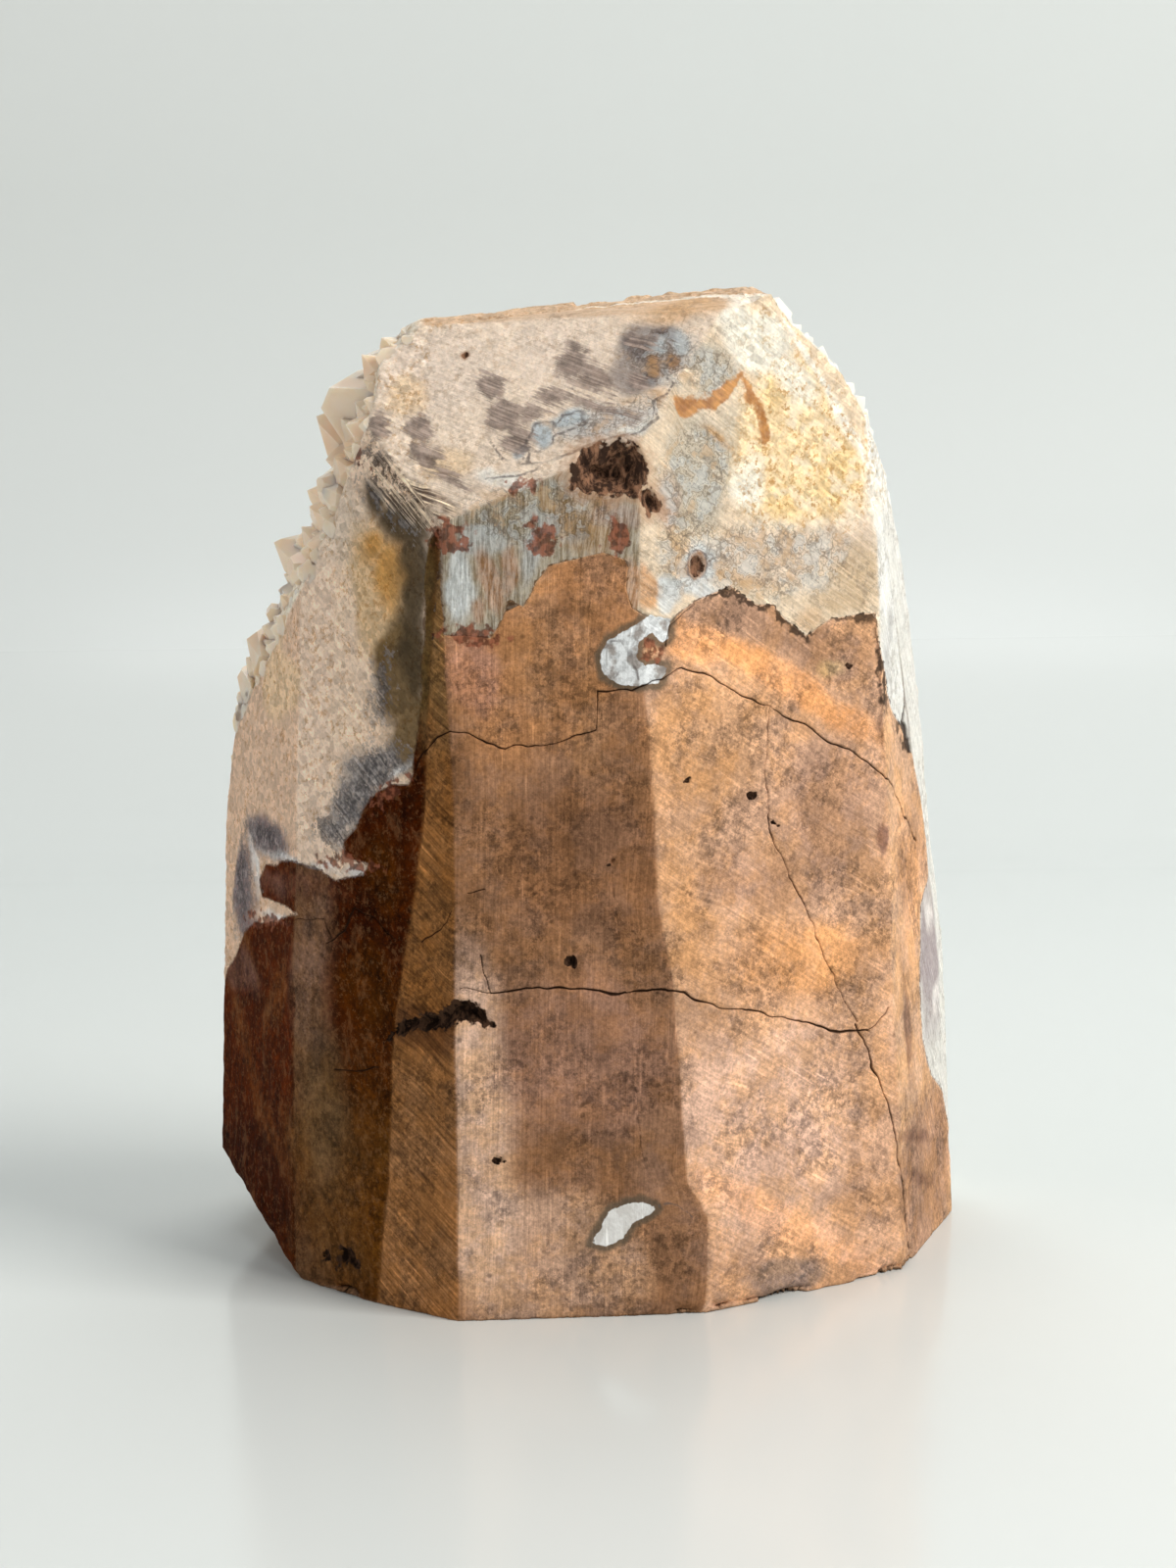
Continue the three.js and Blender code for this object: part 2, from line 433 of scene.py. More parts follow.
# The host rock's outline on the facets, clockwise from the left side of the base. The quartz
# crust is everything outside it.
ROCK_OUTLINE = [
    (-48, -30), (-48, 0), (-46.5, 12), (-42.5, 22), (-39, 28.3), (-37.4, 31), (-36.2, 33.5),
    (-34.3, 35.5), (-31.2, 36.2), (-28.6, 37.9), (-31.2, 38.2), (-33.6, 38.4), (-33.8, 40),
    (-32.7, 41.8), (-29.1, 43.1), (-25.8, 42.7), (-24.2, 41.9), (-21.8, 42.8), (-21.2, 44),
    (-23.4, 44.4), (-23.6, 46), (-22.3, 47.7), (-21.2, 50.1), (-19.8, 51.4), (-18.3, 52.3),
    (-17, 52.1), (-16.5, 54.1), (-15.8, 57.4), (-15.3, 61.2), (-14.9, 66.8), (-14.5, 72.3),
    (-14.1, 75.6), (-13.2, 76.6), (-13.1, 74.2), (-13, 66.7), (-8.6, 66.4), (-7.3, 68.2),
    (-6.6, 70), (-5.2, 69.3), (-4.2, 71.3), (-2.8, 73.1), (-0.5, 73.5), (2, 74.3), (3.6, 73.9),
    (4.7, 73.4), (4.6, 71.2), (5.2, 69), (6.5, 68.3), (9.2, 67.6), (11.1, 69.5), (13.5, 70.3),
    (14.5, 70.7), (15.9, 69.7), (17.2, 68.7), (18.8, 68.8), (20.3, 67.1), (22.2, 65.4),
    (23.1, 65.9), (24.9, 66.8), (29.3, 67.5), (30, 63.7), (30.6, 59.2), (31.4, 57.3),
    (33.2, 54.6), (34.8, 50.5), (38, 47), (39, 42), (36.8, 38.5), (35.4, 35.5), (35.4, 31.2),
    (35.1, 27.3), (35.5, 21.9), (36.8, 17), (38.7, 13.7), (41, 11), (44, 6), (48, 0), (48, -30),
]

CRACKS = [  # (half width in millimetres, line)
    (0.15, [(-9.5, 32.4), (-6.6, 32.7), (-4, 33), (-1, 32.9), (1.5, 32.4),
            (4, 32.1), (7.5, 32.3), (9, 32.4), (11, 31.5), (13.6, 30.3), (15.3, 29.6),
            (17.2, 29), (19.8, 28.2), (22.5, 26.9), (26, 25.7), (28, 25.3)]),
    (0.04, [(-10.6, 36.1), (-9.5, 32.4)]),
    (0.03, [(-12.4, 32.4), (-9.5, 32.4)]),
    (0.05, [(28, 25.3), (28.8, 26.2), (30.4, 27.5)]),
    (0.12, [(26.7, 26.3), (27.4, 24.7), (28.3, 21.8), (29.6, 18.3), (30.3, 15.7), (31.3, 13),
            (31.8, 9.6), (32.4, 3), (32.6, 1.5)]),
    (0.02, [(18.5, 58.5), (18.2, 52), (18.4, 48.4)]),
    (0.06, [(18.4, 48.4), (19.2, 45.5), (20.6, 42.2), (22.4, 38.3), (24.2, 33.3), (25.7, 30.1),
            (26.9, 26.5)]),
    (0.08, [(-16.2, 53.5), (-15.8, 54.9), (-14.4, 56.5), (-12.8, 57.1), (-11, 57.1),
            (-9.6, 56.6), (-7.4, 55.9), (-3.7, 56.1), (-1.2, 56.8), (1.5, 57.8), (1.9, 59.7),
            (2.1, 61.4), (5.6, 61.3), (8.6, 62.3), (10.4, 63.1)]),
    (0.11, [(10.4, 63.1), (14.9, 60.7), (18.8, 58.5), (22, 56.8), (24.9, 54.6), (29.2, 51.9)]),
    (0.07, [(29.2, 51.9), (30.5, 50.3), (33, 46.2), (35, 42.8)]),
    (0.06, [(9, 65.4), (9.3, 67.6), (11, 69.2)]),
    (0.03, [(-11.7, 41.6), (-10.1, 42.2)]),
    (0.08, [(-16.2, 36.8), (-15, 37.8), (-13.2, 39.9)]),
    (0.08, [(-24.2, 35.5), (-23.2, 37.2), (-22.8, 39.4), (-20.8, 38.9), (-18.3, 36.7)]),
    (0.06, [(-29, 37.5), (-25.2, 37.5), (-24.2, 36.1)]),
    (0.12, [(-24.4, 22.7), (-22.6, 23.4), (-20.2, 24)]),
    (0.45, [(35.3, 63), (33.7, 59.6), (33, 55.6), (34, 52.2)]),
]

VUGS = [  # (deepest in millimetres, outline)
    (2.2, [(-1.4, 82.2), (-0.8, 83.4), (1, 84), (2.8, 84.3), (4.6, 83.9), (5.7, 82.2),
           (5.6, 80.1), (4.6, 79.2), (2.3, 78.9), (0.2, 79.4), (-1, 80.6)]),
    (1.2, [(4.9, 79.7), (6.1, 79.8), (7.2, 78.9), (7.3, 77.9), (6.2, 77.6), (5.3, 78.3)]),
    (1.6, [(-19.4, 26.5), (-17.9, 28.8), (-15.2, 30.1), (-13.4, 31.4), (-11, 31.2),
           (-8.9, 29), (-11.2, 29.2), (-13.6, 28.9), (-16.6, 28.1)]),
    (1.2, [(-25.4, 2.3), (-24.6, 4.9), (-23.4, 4.6), (-23, 2.9), (-24.2, 3.4)]),
    (1.0, [(-27.2, 3), (-26.3, 4.2), (-26, 3)]),
]
# The spots below are ellipses: (across, up, half width, half height, tilt in degrees).
PITS = [
    (3.8, 45.1, 0.5, 0.3, 20), (2.6, 44.7, 0.35, 0.15, 20), (-1.4, 35.4, 0.6, 0.75, 0),
    (-8.8, 16, 0.75, 0.45, 0), (16.6, 50.4, 0.5, 0.5, 0), (10.9, 52.4, 0.5, 0.3, 30),
    (19.1, 47.4, 0.6, 0.3, -35), (-10.7, 92.9, 0.3, 0.3, 0), (26.5, 62.2, 0.4, 0.4, 0),
    (11.2, 72.9, 0.8, 1.1, 0),
]
INLAYS = [
    [(5.8, 67.4), (4.4, 66.9), (3.3, 66.1), (2.6, 64.7), (2.9, 62.9), (4.4, 62.1), (6.2, 61.8),
     (8.3, 61.8), (9.1, 63.4), (8, 63.7), (6.9, 63.6), (6.3, 64.6), (6.4, 66), (7.4, 66.6),
     (8.6, 65.6), (9.1, 66), (9.1, 68), (7.2, 68.4)],
    [(1.3, 9.4), (2, 10.6), (3.6, 11.3), (5, 11.5), (6.9, 11), (5.6, 10), (4.4, 9.4), (3.4, 8),
     (1.6, 7), (0.3, 7.4), (0.6, 8.2)],
]
DARK_LINES = [  # thin outlines of the chalcedony on the sloping face
    [(-8.4, 85), (-7.1, 83.1), (-5, 82.4), (-2.7, 82.6), (-0.4, 83.6), (2.4, 84.6),
     (4.7, 84.9), (6.1, 86)],
    [(-4.8, 84.1), (-4.1, 86.4), (-2.4, 86.6), (-2.3, 85.6), (-1.3, 87.2), (0.6, 87.4),
     (0.2, 86), (-2.2, 85.1), (-2.4, 84.1), (-3.6, 83.6), (-4.8, 84.1)],
    [(-5.8, 83.4), (-5.1, 84.1), (-4.4, 83.6), (-4.7, 82.7), (-5.8, 83.4)],
    [(-8.6, 81.2), (-6, 81.3), (-3.6, 82)],
    [(5, 85.2), (6.6, 86.3), (6, 87.8), (7.4, 88.6), (8.4, 90), (7.4, 91.4), (8.6, 92.6)],
    [(3.4, 66.2), (4.8, 66.1), (5.4, 64.8), (5.2, 63.4), (4.2, 62.8), (3.4, 63.8), (3.4, 66.2)],
    [(5.9, 67), (5.7, 64.4), (6.4, 62.4)],
    [(10.2, 73), (10.5, 74), (11.3, 74.3), (12.1, 73.8), (12.3, 72.8), (11.9, 71.8), (11.1, 71.5),
     (10.4, 72), (10.2, 73)],
    [(6.9, 11), (8.4, 11.4), (9.6, 11), (10.4, 9.8)],
    [(19.8, 0.9), (22.5, 2.2)],
]
SMOKE = [
    (-19.1, 86.2, 1.1, 1.5, 0), (-15.2, 86.1, 1.4, 1.5, 0), (-8.3, 90, 1.5, 1.5, 0),
    (-7, 87.2, 1.6, 1.8, 20), (-5.9, 84.8, 1.8, 1.6, 40), (-4.4, 87.4, 1.8, 0.9, 45),
    (-2, 88.7, 2, 0.9, 8), (1, 88.3, 1.9, 0.7, -22), (3.2, 87, 1.3, 0.5, -35),
    (-0.2, 92.2, 1.5, 1.8, 0), (1.6, 90.8, 1.7, 1.3, -40), (6, 94, 1.1, 1, 0),
    (5, 90.6, 0.9, 1, 0), (-19, 83, 2, 0.8, -30), (-14.6, 83.6, 1.5, 1.1, 0),
    (-12.3, 81.4, 3.2, 0.6, -32), (-17.5, 79, 3.8, 1.1, -36), (-13.6, 77.9, 3, 0.6, -28),
    (-14.8, 80.2, 3.8, 0.8, -33),
    (-18.2, 54.4, 1.4, 1, -20), (-20.4, 53.4, 2.2, 1.9, 30), (-22.3, 50, 1.6, 3.2, -30),
    (-24.6, 46.6, 1.7, 1.3, 30), (-32.8, 44.6, 2.6, 1.5, 0), (-36.4, 39, 1.2, 4, 0),
    (-19.4, 61, 1, 2.4, -8),
]
RED = [
    (-12.2, 75.7, 2, 1.4, -15), (-3.4, 75.6, 1.4, 1.7, 20), (-10.4, 66.6, 2.8, 0.9, 0),
    (3.3, 75.7, 1.2, 1.3, 0), (-21, 83.4, 1.2, 0.4, -40), (7.6, 64.8, 0.8, 1, 0),
    (-5.3, 80.5, 1.1, 0.5, 10), (-23, 43.8, 2.2, 0.7, 0),
    (-19, 51.2, 2, 0.9, 35), (-33, 36, 2.2, 0.7, 10),
]
ORANGE_STAINS = [
    [(9, 87.6), (11.4, 88.4), (13.7, 89), (15.4, 91)],
    [(15.4, 91), (16.5, 89), (17.6, 86.8)],
    [(17.6, 87), (17.8, 85)],
]
TORN = [(-15.4, 79.6, 5.4, 2.4, -34)]
DARK_RIMS = [
    (17.5, 68.8, 6, 1.8, -14), (21.8, 66, 1.6, 1.6, 0), (27, 67.2, 3, 1.4, 0),
    (30, 62, 1.2, 6, 0), (33, 55, 1.5, 3, 0),
]
HONEY = [(23, 83.5, 8, 9, -20)]
AGATE = [
    (10.6, 81, 3.8, 5, 0), (12.4, 91, 2.4, 2.4, 0), (2.5, 86.5, 4.8, 2, 15), (-4, 78, 7, 2.8, 0),
    (19, 73, 8, 3.6, 0), (8, 92.5, 3.4, 2.6, 0), (10, 75, 3, 5, 0),
]
CRACK_OPENING = 0.52  # the cracks' real width, as a share of the one they were drawn with
CRACK_UNEVEN = 0.9  # how much that width changes along them
PIT_DEPTH = 0.5  # in millimetres
PIT_FADE = 4  # how many times faster than elsewhere the dark of a vug ends around a pit


def quartz_depth(points, places):
    """Distance outside the host rock's outline, in millimetres, negative on the rock."""
    near = wavered(places, points, reach=0.33, size=4.2, seed=11)
    near = wavered(near, points, reach=0.07, size=1.1, seed=17)
    return -inside_outline(near, ROCK_OUTLINE)


def crack_gap(points, places):
    """Distance from the nearest crack's edge, in millimetres, negative in the crack."""
    near = wavered(places, points, reach=0.4, size=3.2, seed=23)
    near = wavered(near, points, reach=0.3, size=1.4, seed=27)
    uneven = CRACK_OPENING * (1 + CRACK_UNEVEN * noise(points, size=2.6, seed=29))
    gap = np.full(len(points), REACH)
    for half_width, line in CRACKS:
        gap = np.minimum(gap, to_line(near, line) - half_width * uneven)
    return gap


def vug_depth(points, places):
    """(distance inside the nearest vug or pit, how deep that one may be), in millimetres."""
    near = wavered(places, points, reach=0.3, size=1.6, seed=31)
    inside = inside_spots(near, PITS)
    inside = np.where(inside < 0, PIT_FADE * inside, inside)
    deepest = np.full(len(points), PIT_DEPTH)
    for depth, outline in VUGS:
        own = inside_outline(near, outline)
        deepest = np.where(own > inside, depth, deepest)
        inside = np.maximum(inside, own)
    return inside, deepest


# ---- Fineness of the mesh ---------------------------------------------------

# The longest edges, in millimetres.
FINE = {"rock": 0.8, "quartz": 0.56, "side": 1.6, "base": 3.0, "druse": 1.4}
FINEST, COARSEST = 0.14, 4
# Beside the marks: the longest edge there, and how fast it grows with the distance.
BY_CONTACT, BY_CRACK, BY_VUG, BY_RIDGE = (0.36, 0.4), (FINEST, 0.6), (0.28, 0.5), (0.38, 0.35)
CRACK_MARGIN = 0.06

# How the facets share a point near a ridge, in millimetres.
SHARED_DEPTH, SHARED_WIDTH = 0.25, 0.12
LEAST_SPREAD = 0.02


def edge_target(middle, length, facet):
    """How long an edge may be, in millimetres."""
    goal = np.full(len(middle), FINE["druse"])
    goal[IS_GROUND[facet]] = FINE["side"]
    goal[facet == NUMBER["base"]] = FINE["base"]
    front = IS_FRONT[facet]
    goal[front] = FINE["rock"]
    near = np.flatnonzero(front & (length > FINEST) & (length < COARSEST))
    if len(near):
        points = middle[near]
        places = placed(points)
        crust = quartz_depth(points, places)
        fine = np.where(crust > 0, FINE["quartz"], FINE["rock"])
        for (least, growth), away in (
            (BY_CONTACT, np.abs(crust)),
            (BY_CRACK, np.maximum(0, crack_gap(points, places) - CRACK_MARGIN)),
            (BY_VUG, np.maximum(0, -vug_depth(points, places)[0])),
            (BY_RIDGE, ridge_distance(points)),
        ):
            fine = np.minimum(fine, least + growth * away)
        goal[near] = fine
    return goal


def beside(points):
    """How far each point is behind every facet's plane, and how much it belongs to each."""
    behind = np.maximum(0, DISTANCES - points @ NORMALS.T)
    own = np.exp(-behind / SHARED_DEPTH)
    return behind, own / own.sum(axis=1, keepdims=True)


def lateral(points):
    """How far each point is from where every facet would meet its own, along the surface."""
    behind, own = beside(points)
    return behind / np.maximum(own @ SPREAD, LEAST_SPREAD), own


def facet_shares(away):
    """How much each facet paints each point: crisp at the ridges."""
    share = np.exp(-away / SHARED_WIDTH)
    return share / share.sum(axis=1, keepdims=True)


def ridge_distance(points):
    """Distance to the nearest ridge between two facets, along the surface, in millimetres."""
    away, own = lateral(points)
    away[np.arange(len(points)), own.argmax(axis=1)] = np.inf
    return away.min(axis=1)


# ---- Shape: wander, chips, cracks, vugs and grain ------------------------------

WANDER_REACH = 7  # how far from a ridge the facets' moves mix, in millimetres
UNEVEN = 0.16  # how far a ground facet is off its plane all over, in millimetres
STIFFNESS = 0.002  # keeps a point from moving along its facet


def wandered(points):
    """The points moved with their facets, so that the ridges slide but stay sharp."""
    away, _ = lateral(points)
    share = (1 - smooth(away / WANDER_REACH)) ** 2
    offset = np.zeros_like(share)
    up = points[:, 2] / UNIT
    for k, name in enumerate(NAMES):
        offset[:, k] = UNEVEN * noise(points, size=17, seed=200 + k) * (name != "base")
        if name in WANDER:
            offset[:, k] += np.interp(up, *zip(*WANDER[name]))
    pull = np.einsum("pk,ki,kj->pij", share, NORMALS, NORMALS) + STIFFNESS * np.eye(3)
    push = np.einsum("pk,pk,ki->pi", share, offset, NORMALS)
    return points + np.linalg.solve(pull, push[..., None])[..., 0]


# How deep, and how wide from the ridge or the edge, things are worn, in millimetres.
WORN_RIDGE = (0.1, 0.7)
CHIP_WIDTH, CHIP_LEAST = 1.6, 0.12
CHIPS, LOW_CHIPS, LOW = 0.5, 2.2, 3.5  # the chips are larger near the base, up to LOW
CRACK_DEPTH, CRACK_WALL, CRACK_FROM = 0.35, 0.14, 0.06
VUG_SLOPE, VUG_ROUGH, VUG_LEAST = 1.1, 0.9, 0.15  # its walls, and how its floor varies
GRAIN_GAP = (0.1, 0.35)  # between the sugar's grains
GRAIN_DOME = 0.04
GROUND_GRAIN = 0.035
TOP_LUMPS = (0.22, 2.5)  # on the top facet, away from its ridges
CRUMBLED = (0.55, 2.2)  # the ridges at the upper right
DRUSE_SUNK, DRUSE_SWELL, DRUSE_LUMPS = 0.5, 1.2, 0.5
BASE_DEPTH, BASE_SHARE = 0.5, 0.3  # the base is cut flatter than the rest


def shaped(points, fields):
    """The fine surface: chipped ridges, cracks, vugs, ground quartz grain and druse swells."""
    _, own = beside(points)
    outward = own @ NORMALS
    outward /= np.linalg.norm(outward, axis=1, keepdims=True)
    ground = own[:, IS_GROUND].sum(axis=1)

    def by_ridge(width):
        return 1 - smooth(fields["ridge"] / width)

    depth, width = WORN_RIDGE
    depth = depth * by_ridge(width) * (1 + noise(points, size=1.3, seed=41, octaves=2))
    chips = np.maximum(0, noise(points, size=4.5, seed=43, octaves=2) - CHIP_LEAST)
    low = smooth(1 - points[:, 2] / LOW)
    depth += by_ridge(CHIP_WIDTH) * chips * (CHIPS + LOW_CHIPS * low)
    depth += CRACK_DEPTH * (1 - smooth((fields["crack"] + CRACK_FROM) / CRACK_WALL))
    rough = 1 + VUG_ROUGH * noise(points, size=1.3, seed=47, octaves=2)
    inside = np.maximum(0, fields["vug"]) * VUG_SLOPE
    depth += np.minimum(inside, fields["vug_depth"]) * np.maximum(VUG_LEAST, rough)
    middle, between = grains(points, size=1.0, seed=51)
    pitted = smooth(noise(points, size=2.4, seed=53) * 2 + 0.5)
    sugar = fields["sugar"] * smooth(fields["quartz"] / 0.4 + 0.5) * ground
    gap_depth, gap_width = GRAIN_GAP
    gaps = gap_depth * (1 - smooth(between / gap_width)) * pitted
    depth += sugar * (gaps + GRAIN_DOME * middle)
    depth += GROUND_GRAIN * ground * noise(points, size=0.9, seed=57, octaves=2)
    lumpy = 1 + noise(points, size=1.5, seed=59, octaves=2)
    lump, width = TOP_LUMPS
    depth += lump * own[:, NUMBER["top"]] * smooth(fields["ridge"] / width) * (lumpy - 1)
    lump, width = CRUMBLED
    depth += lump * fields["crumbly"] * by_ridge(width) * lumpy
    swell = DRUSE_SUNK + DRUSE_SWELL * noise(points, size=13, seed=61, octaves=2)
    swell = swell + DRUSE_LUMPS * noise(points, size=2.6, seed=67, octaves=2)
    depth += (1 - ground) * swell
    on_base = fields["base"] > 0.5
    depth = np.where(on_base, np.minimum(depth, BASE_DEPTH) * BASE_SHARE, depth)
    moved = wandered(points) - outward * depth[:, None]
    moved[:, 2] = np.where(on_base, np.maximum(moved[:, 2], 0), moved[:, 2])
    return moved


# ---- Colours of the stone ------------------------------------------------------

# Base colours by facet, linear red, green, blue.
# Besides the rock's own colour these hold painted light and shade: facets facing the key light at
# the right are painted lighter, those facing away at the left darker, and left_b is lightened by a
# painted sheen.
ROCK_BASE = {
    "front": (0.315, 0.162, 0.085),
    "strip": (0.285, 0.124, 0.039),
    "left_a": (0.058, 0.01, 0.0),
    "left_b": (0.17, 0.085, 0.04),
    "left_front": (0.085, 0.014, 0.0),
    "left_side": (0.12, 0.03, 0.003),
    "right_front": (0.65, 0.38, 0.228),
    "right_low": (0.7, 0.44, 0.29),
    "right": (0.62, 0.38, 0.23),
    "right_side": (0.5, 0.3, 0.17),
    "base": (0.4, 0.24, 0.14),
    "undercut": (0.16, 0.07, 0.03),
}
CRUST_BASE = {
    "front": (0.36, 0.285, 0.185),
    "strip": (0.2, 0.13, 0.075),
    "left_a": (0.9, 0.69, 0.53),
    "left_b": (0.91, 0.7, 0.55),
    "left_front": (0.78, 0.55, 0.4),
    "left_side": (0.78, 0.56, 0.41),
    "right_front": (0.78, 0.62, 0.45),
    "right": (0.74, 0.72, 0.67),
    "right_side": (0.78, 0.7, 0.58),
    "slope": (0.83, 0.68, 0.545),
    "top": (0.6, 0.42, 0.28),
    "back_rim": (0.66, 0.47, 0.32),
}
DRUSE_BASE = (0.88, 0.79, 0.66)
OTHER_ROCK = (0.4, 0.22, 0.12)
OTHER_CRUST = (0.7, 0.6, 0.48)

# The facets that a soft zone may spread over.
GROUPS = {
    "front": ("front",),
    "strip": ("strip",),
    "left": ("left_a", "left_b", "left_front", "left_side"),
    "right_front": ("right_front", "right_low"),
    "right": ("right", "right_side"),
    "slope": ("slope", "top"),
}

# Soft zones: (colour, softness in millimetres, strength, ellipses), painted in this order.
ROCK_ZONES = {
    "front": [
        ((0.43, 0.215, 0.105), 8, 1.0, [(-2, 66, 13, 11, 0)]),
        ((0.47, 0.24, 0.11), 2, 0.5, [(-4, 66, 2.6, 7, 0), (1, 60, 1.6, 8, 0)]),
        ((0.23, 0.11, 0.055), 5, 0.6, [(1, 44, 9, 7, 0)]),
        ((0.33, 0.175, 0.108), 4, 0.85, [(0.8, 26, 9.6, 7.6, -6)]),
        ((0.54, 0.33, 0.21), 4, 1.0, [(-4, 5, 10, 8, 0)]),
        # painted sheen: the front facet's lighter left margin stands in for the gleam of its
        # polish
        ((0.76, 0.51, 0.36), 4, 0.75, [(-12, 26, 3.2, 10, 0), (-10.5, 14, 4.6, 11, 0)]),
        ((0.31, 0.17, 0.1), 2.5, 0.8, [(9.2, 10, 3.5, 9, 8)]),
        ((0.44, 0.22, 0.14), 2, 0.7, [(-10.4, 63, 2.4, 4, 0)]),
        ((0.2, 0.1, 0.05), 1, 0.5, [(5, 0.5, 7, 1.2, 0)]),
    ],
    "strip": [
        ((0.23, 0.14, 0.06), 3, 0.8, [(-14, 68, 2, 10, 0)]),
        ((0.35, 0.165, 0.064), 5, 0.9, [(-17, 12, 7, 15, 0)]),
        ((0.09, 0.035, 0.014), 1.5, 0.7, [(-15, 28.4, 5, 2.2, 0)]),
    ],
    "left": [
        ((0.14, 0.052, 0.006), 6, 0.9, [(-20, 9, 4.5, 14, 0)]),
        ((0.13, 0.055, 0.014), 5, 0.9, [(-26, 9, 5, 12, 0)]),
        ((0.1, 0.03, 0.001), 3, 0.6, [(-20.5, 31, 3, 4, 0), (-18.8, 43, 2, 4, 0)]),
        # painted sheen: these two zones are the light strip of polish reflection down left_b,
        # fainter low down
        ((0.155, 0.085, 0.035), 2.5, 0.9, [(-26.2, 19, 2.4, 9, 0)]),
        ((0.235, 0.13, 0.08), 2.5, 0.9, [(-26.7, 33, 2.5, 8.5, 0)]),
        ((0.14, 0.085, 0.03), 1.5, 0.9, [(-15, 67, 1.8, 12, 0)]),
        ((0.045, 0.007, 0.0), 5, 0.9, [(-35, 8, 5, 7, 0)]),
        ((0.17, 0.055, 0.013), 1.2, 0.6, [(-33.6, 14.5, 1, 5, 30), (-36.4, 22, 0.9, 6, 15),
                                          (-32, 28, 1.2, 4, -20), (-35.5, 31, 1, 3, 20)]),
        ((0.16, 0.08, 0.06), 1.5, 0.7, [(-36.8, 29.5, 2.6, 2.2, 0), (-31.5, 39.8, 1.8, 1.2, 0)]),
        ((0.13, 0.05, 0.03), 2, 0.6, [(-27.5, 40.8, 3.5, 1.6, 0)]),
    ],
    "right_front": [
        ((0.73, 0.46, 0.315), 6, 0.9, [(18, 17, 9, 10, 0)]),
        ((0.6, 0.33, 0.165), 4, 0.8, [(13, 56, 6, 6, 0), (11, 40, 3, 9, 0)]),
        ((0.86, 0.42, 0.19), 1, 0.95, [(19.5, 61.4, 12, 1.5, -32), (11.5, 64.8, 3, 1.2, -28)]),
        ((0.4, 0.23, 0.14), 1.6, 0.8, [(22.5, 64.9, 7, 2.5, -25), (15.5, 67.7, 5, 1.5, -8)]),
        ((0.2, 0.11, 0.07), 0.8, 0.85, [(30.3, 60.5, 0.9, 7, 0)]),
        ((0.62, 0.42, 0.22), 0.7, 0.8, [(25, 62.1, 1.3, 0.7, 0)]),
        ((0.42, 0.245, 0.165), 5, 0.6, [(25, 47.5, 5, 7, 0), (17, 41.7, 5, 3, -20)]),
        ((0.22, 0.11, 0.08), 0.6, 0.8, [(29.6, 44.7, 0.8, 1.6, 0)]),
        ((0.68, 0.35, 0.165), 3, 0.9, [(22, 33, 7, 4, -8)]),
        ((0.5, 0.29, 0.17), 3, 0.7, [(27.5, 36, 2, 9, 0), (12, 30, 2.5, 3, 0)]),
        ((0.9, 0.5, 0.29), 1.4, 0.95, [(19.5, 7.8, 11.5, 1.6, -36)]),
        ((0.3, 0.22, 0.18), 1, 0.8, [(20, 2, 4, 1.6, -12)]),
    ],
    "right": [
        ((0.46, 0.263, 0.16), 3, 0.9, [(36, 7, 5, 8, 0)]),
        ((0.22, 0.115, 0.075), 0.8, 0.75, [(34, 12.4, 3.4, 0.6, -34), (35, 7.4, 2.8, 0.5, -40),
                                           (33, 24, 0.7, 5, 4)]),
        ((0.68, 0.36, 0.19), 3, 0.7, [(33.4, 39, 1.8, 8, 0)]),
    ],
}
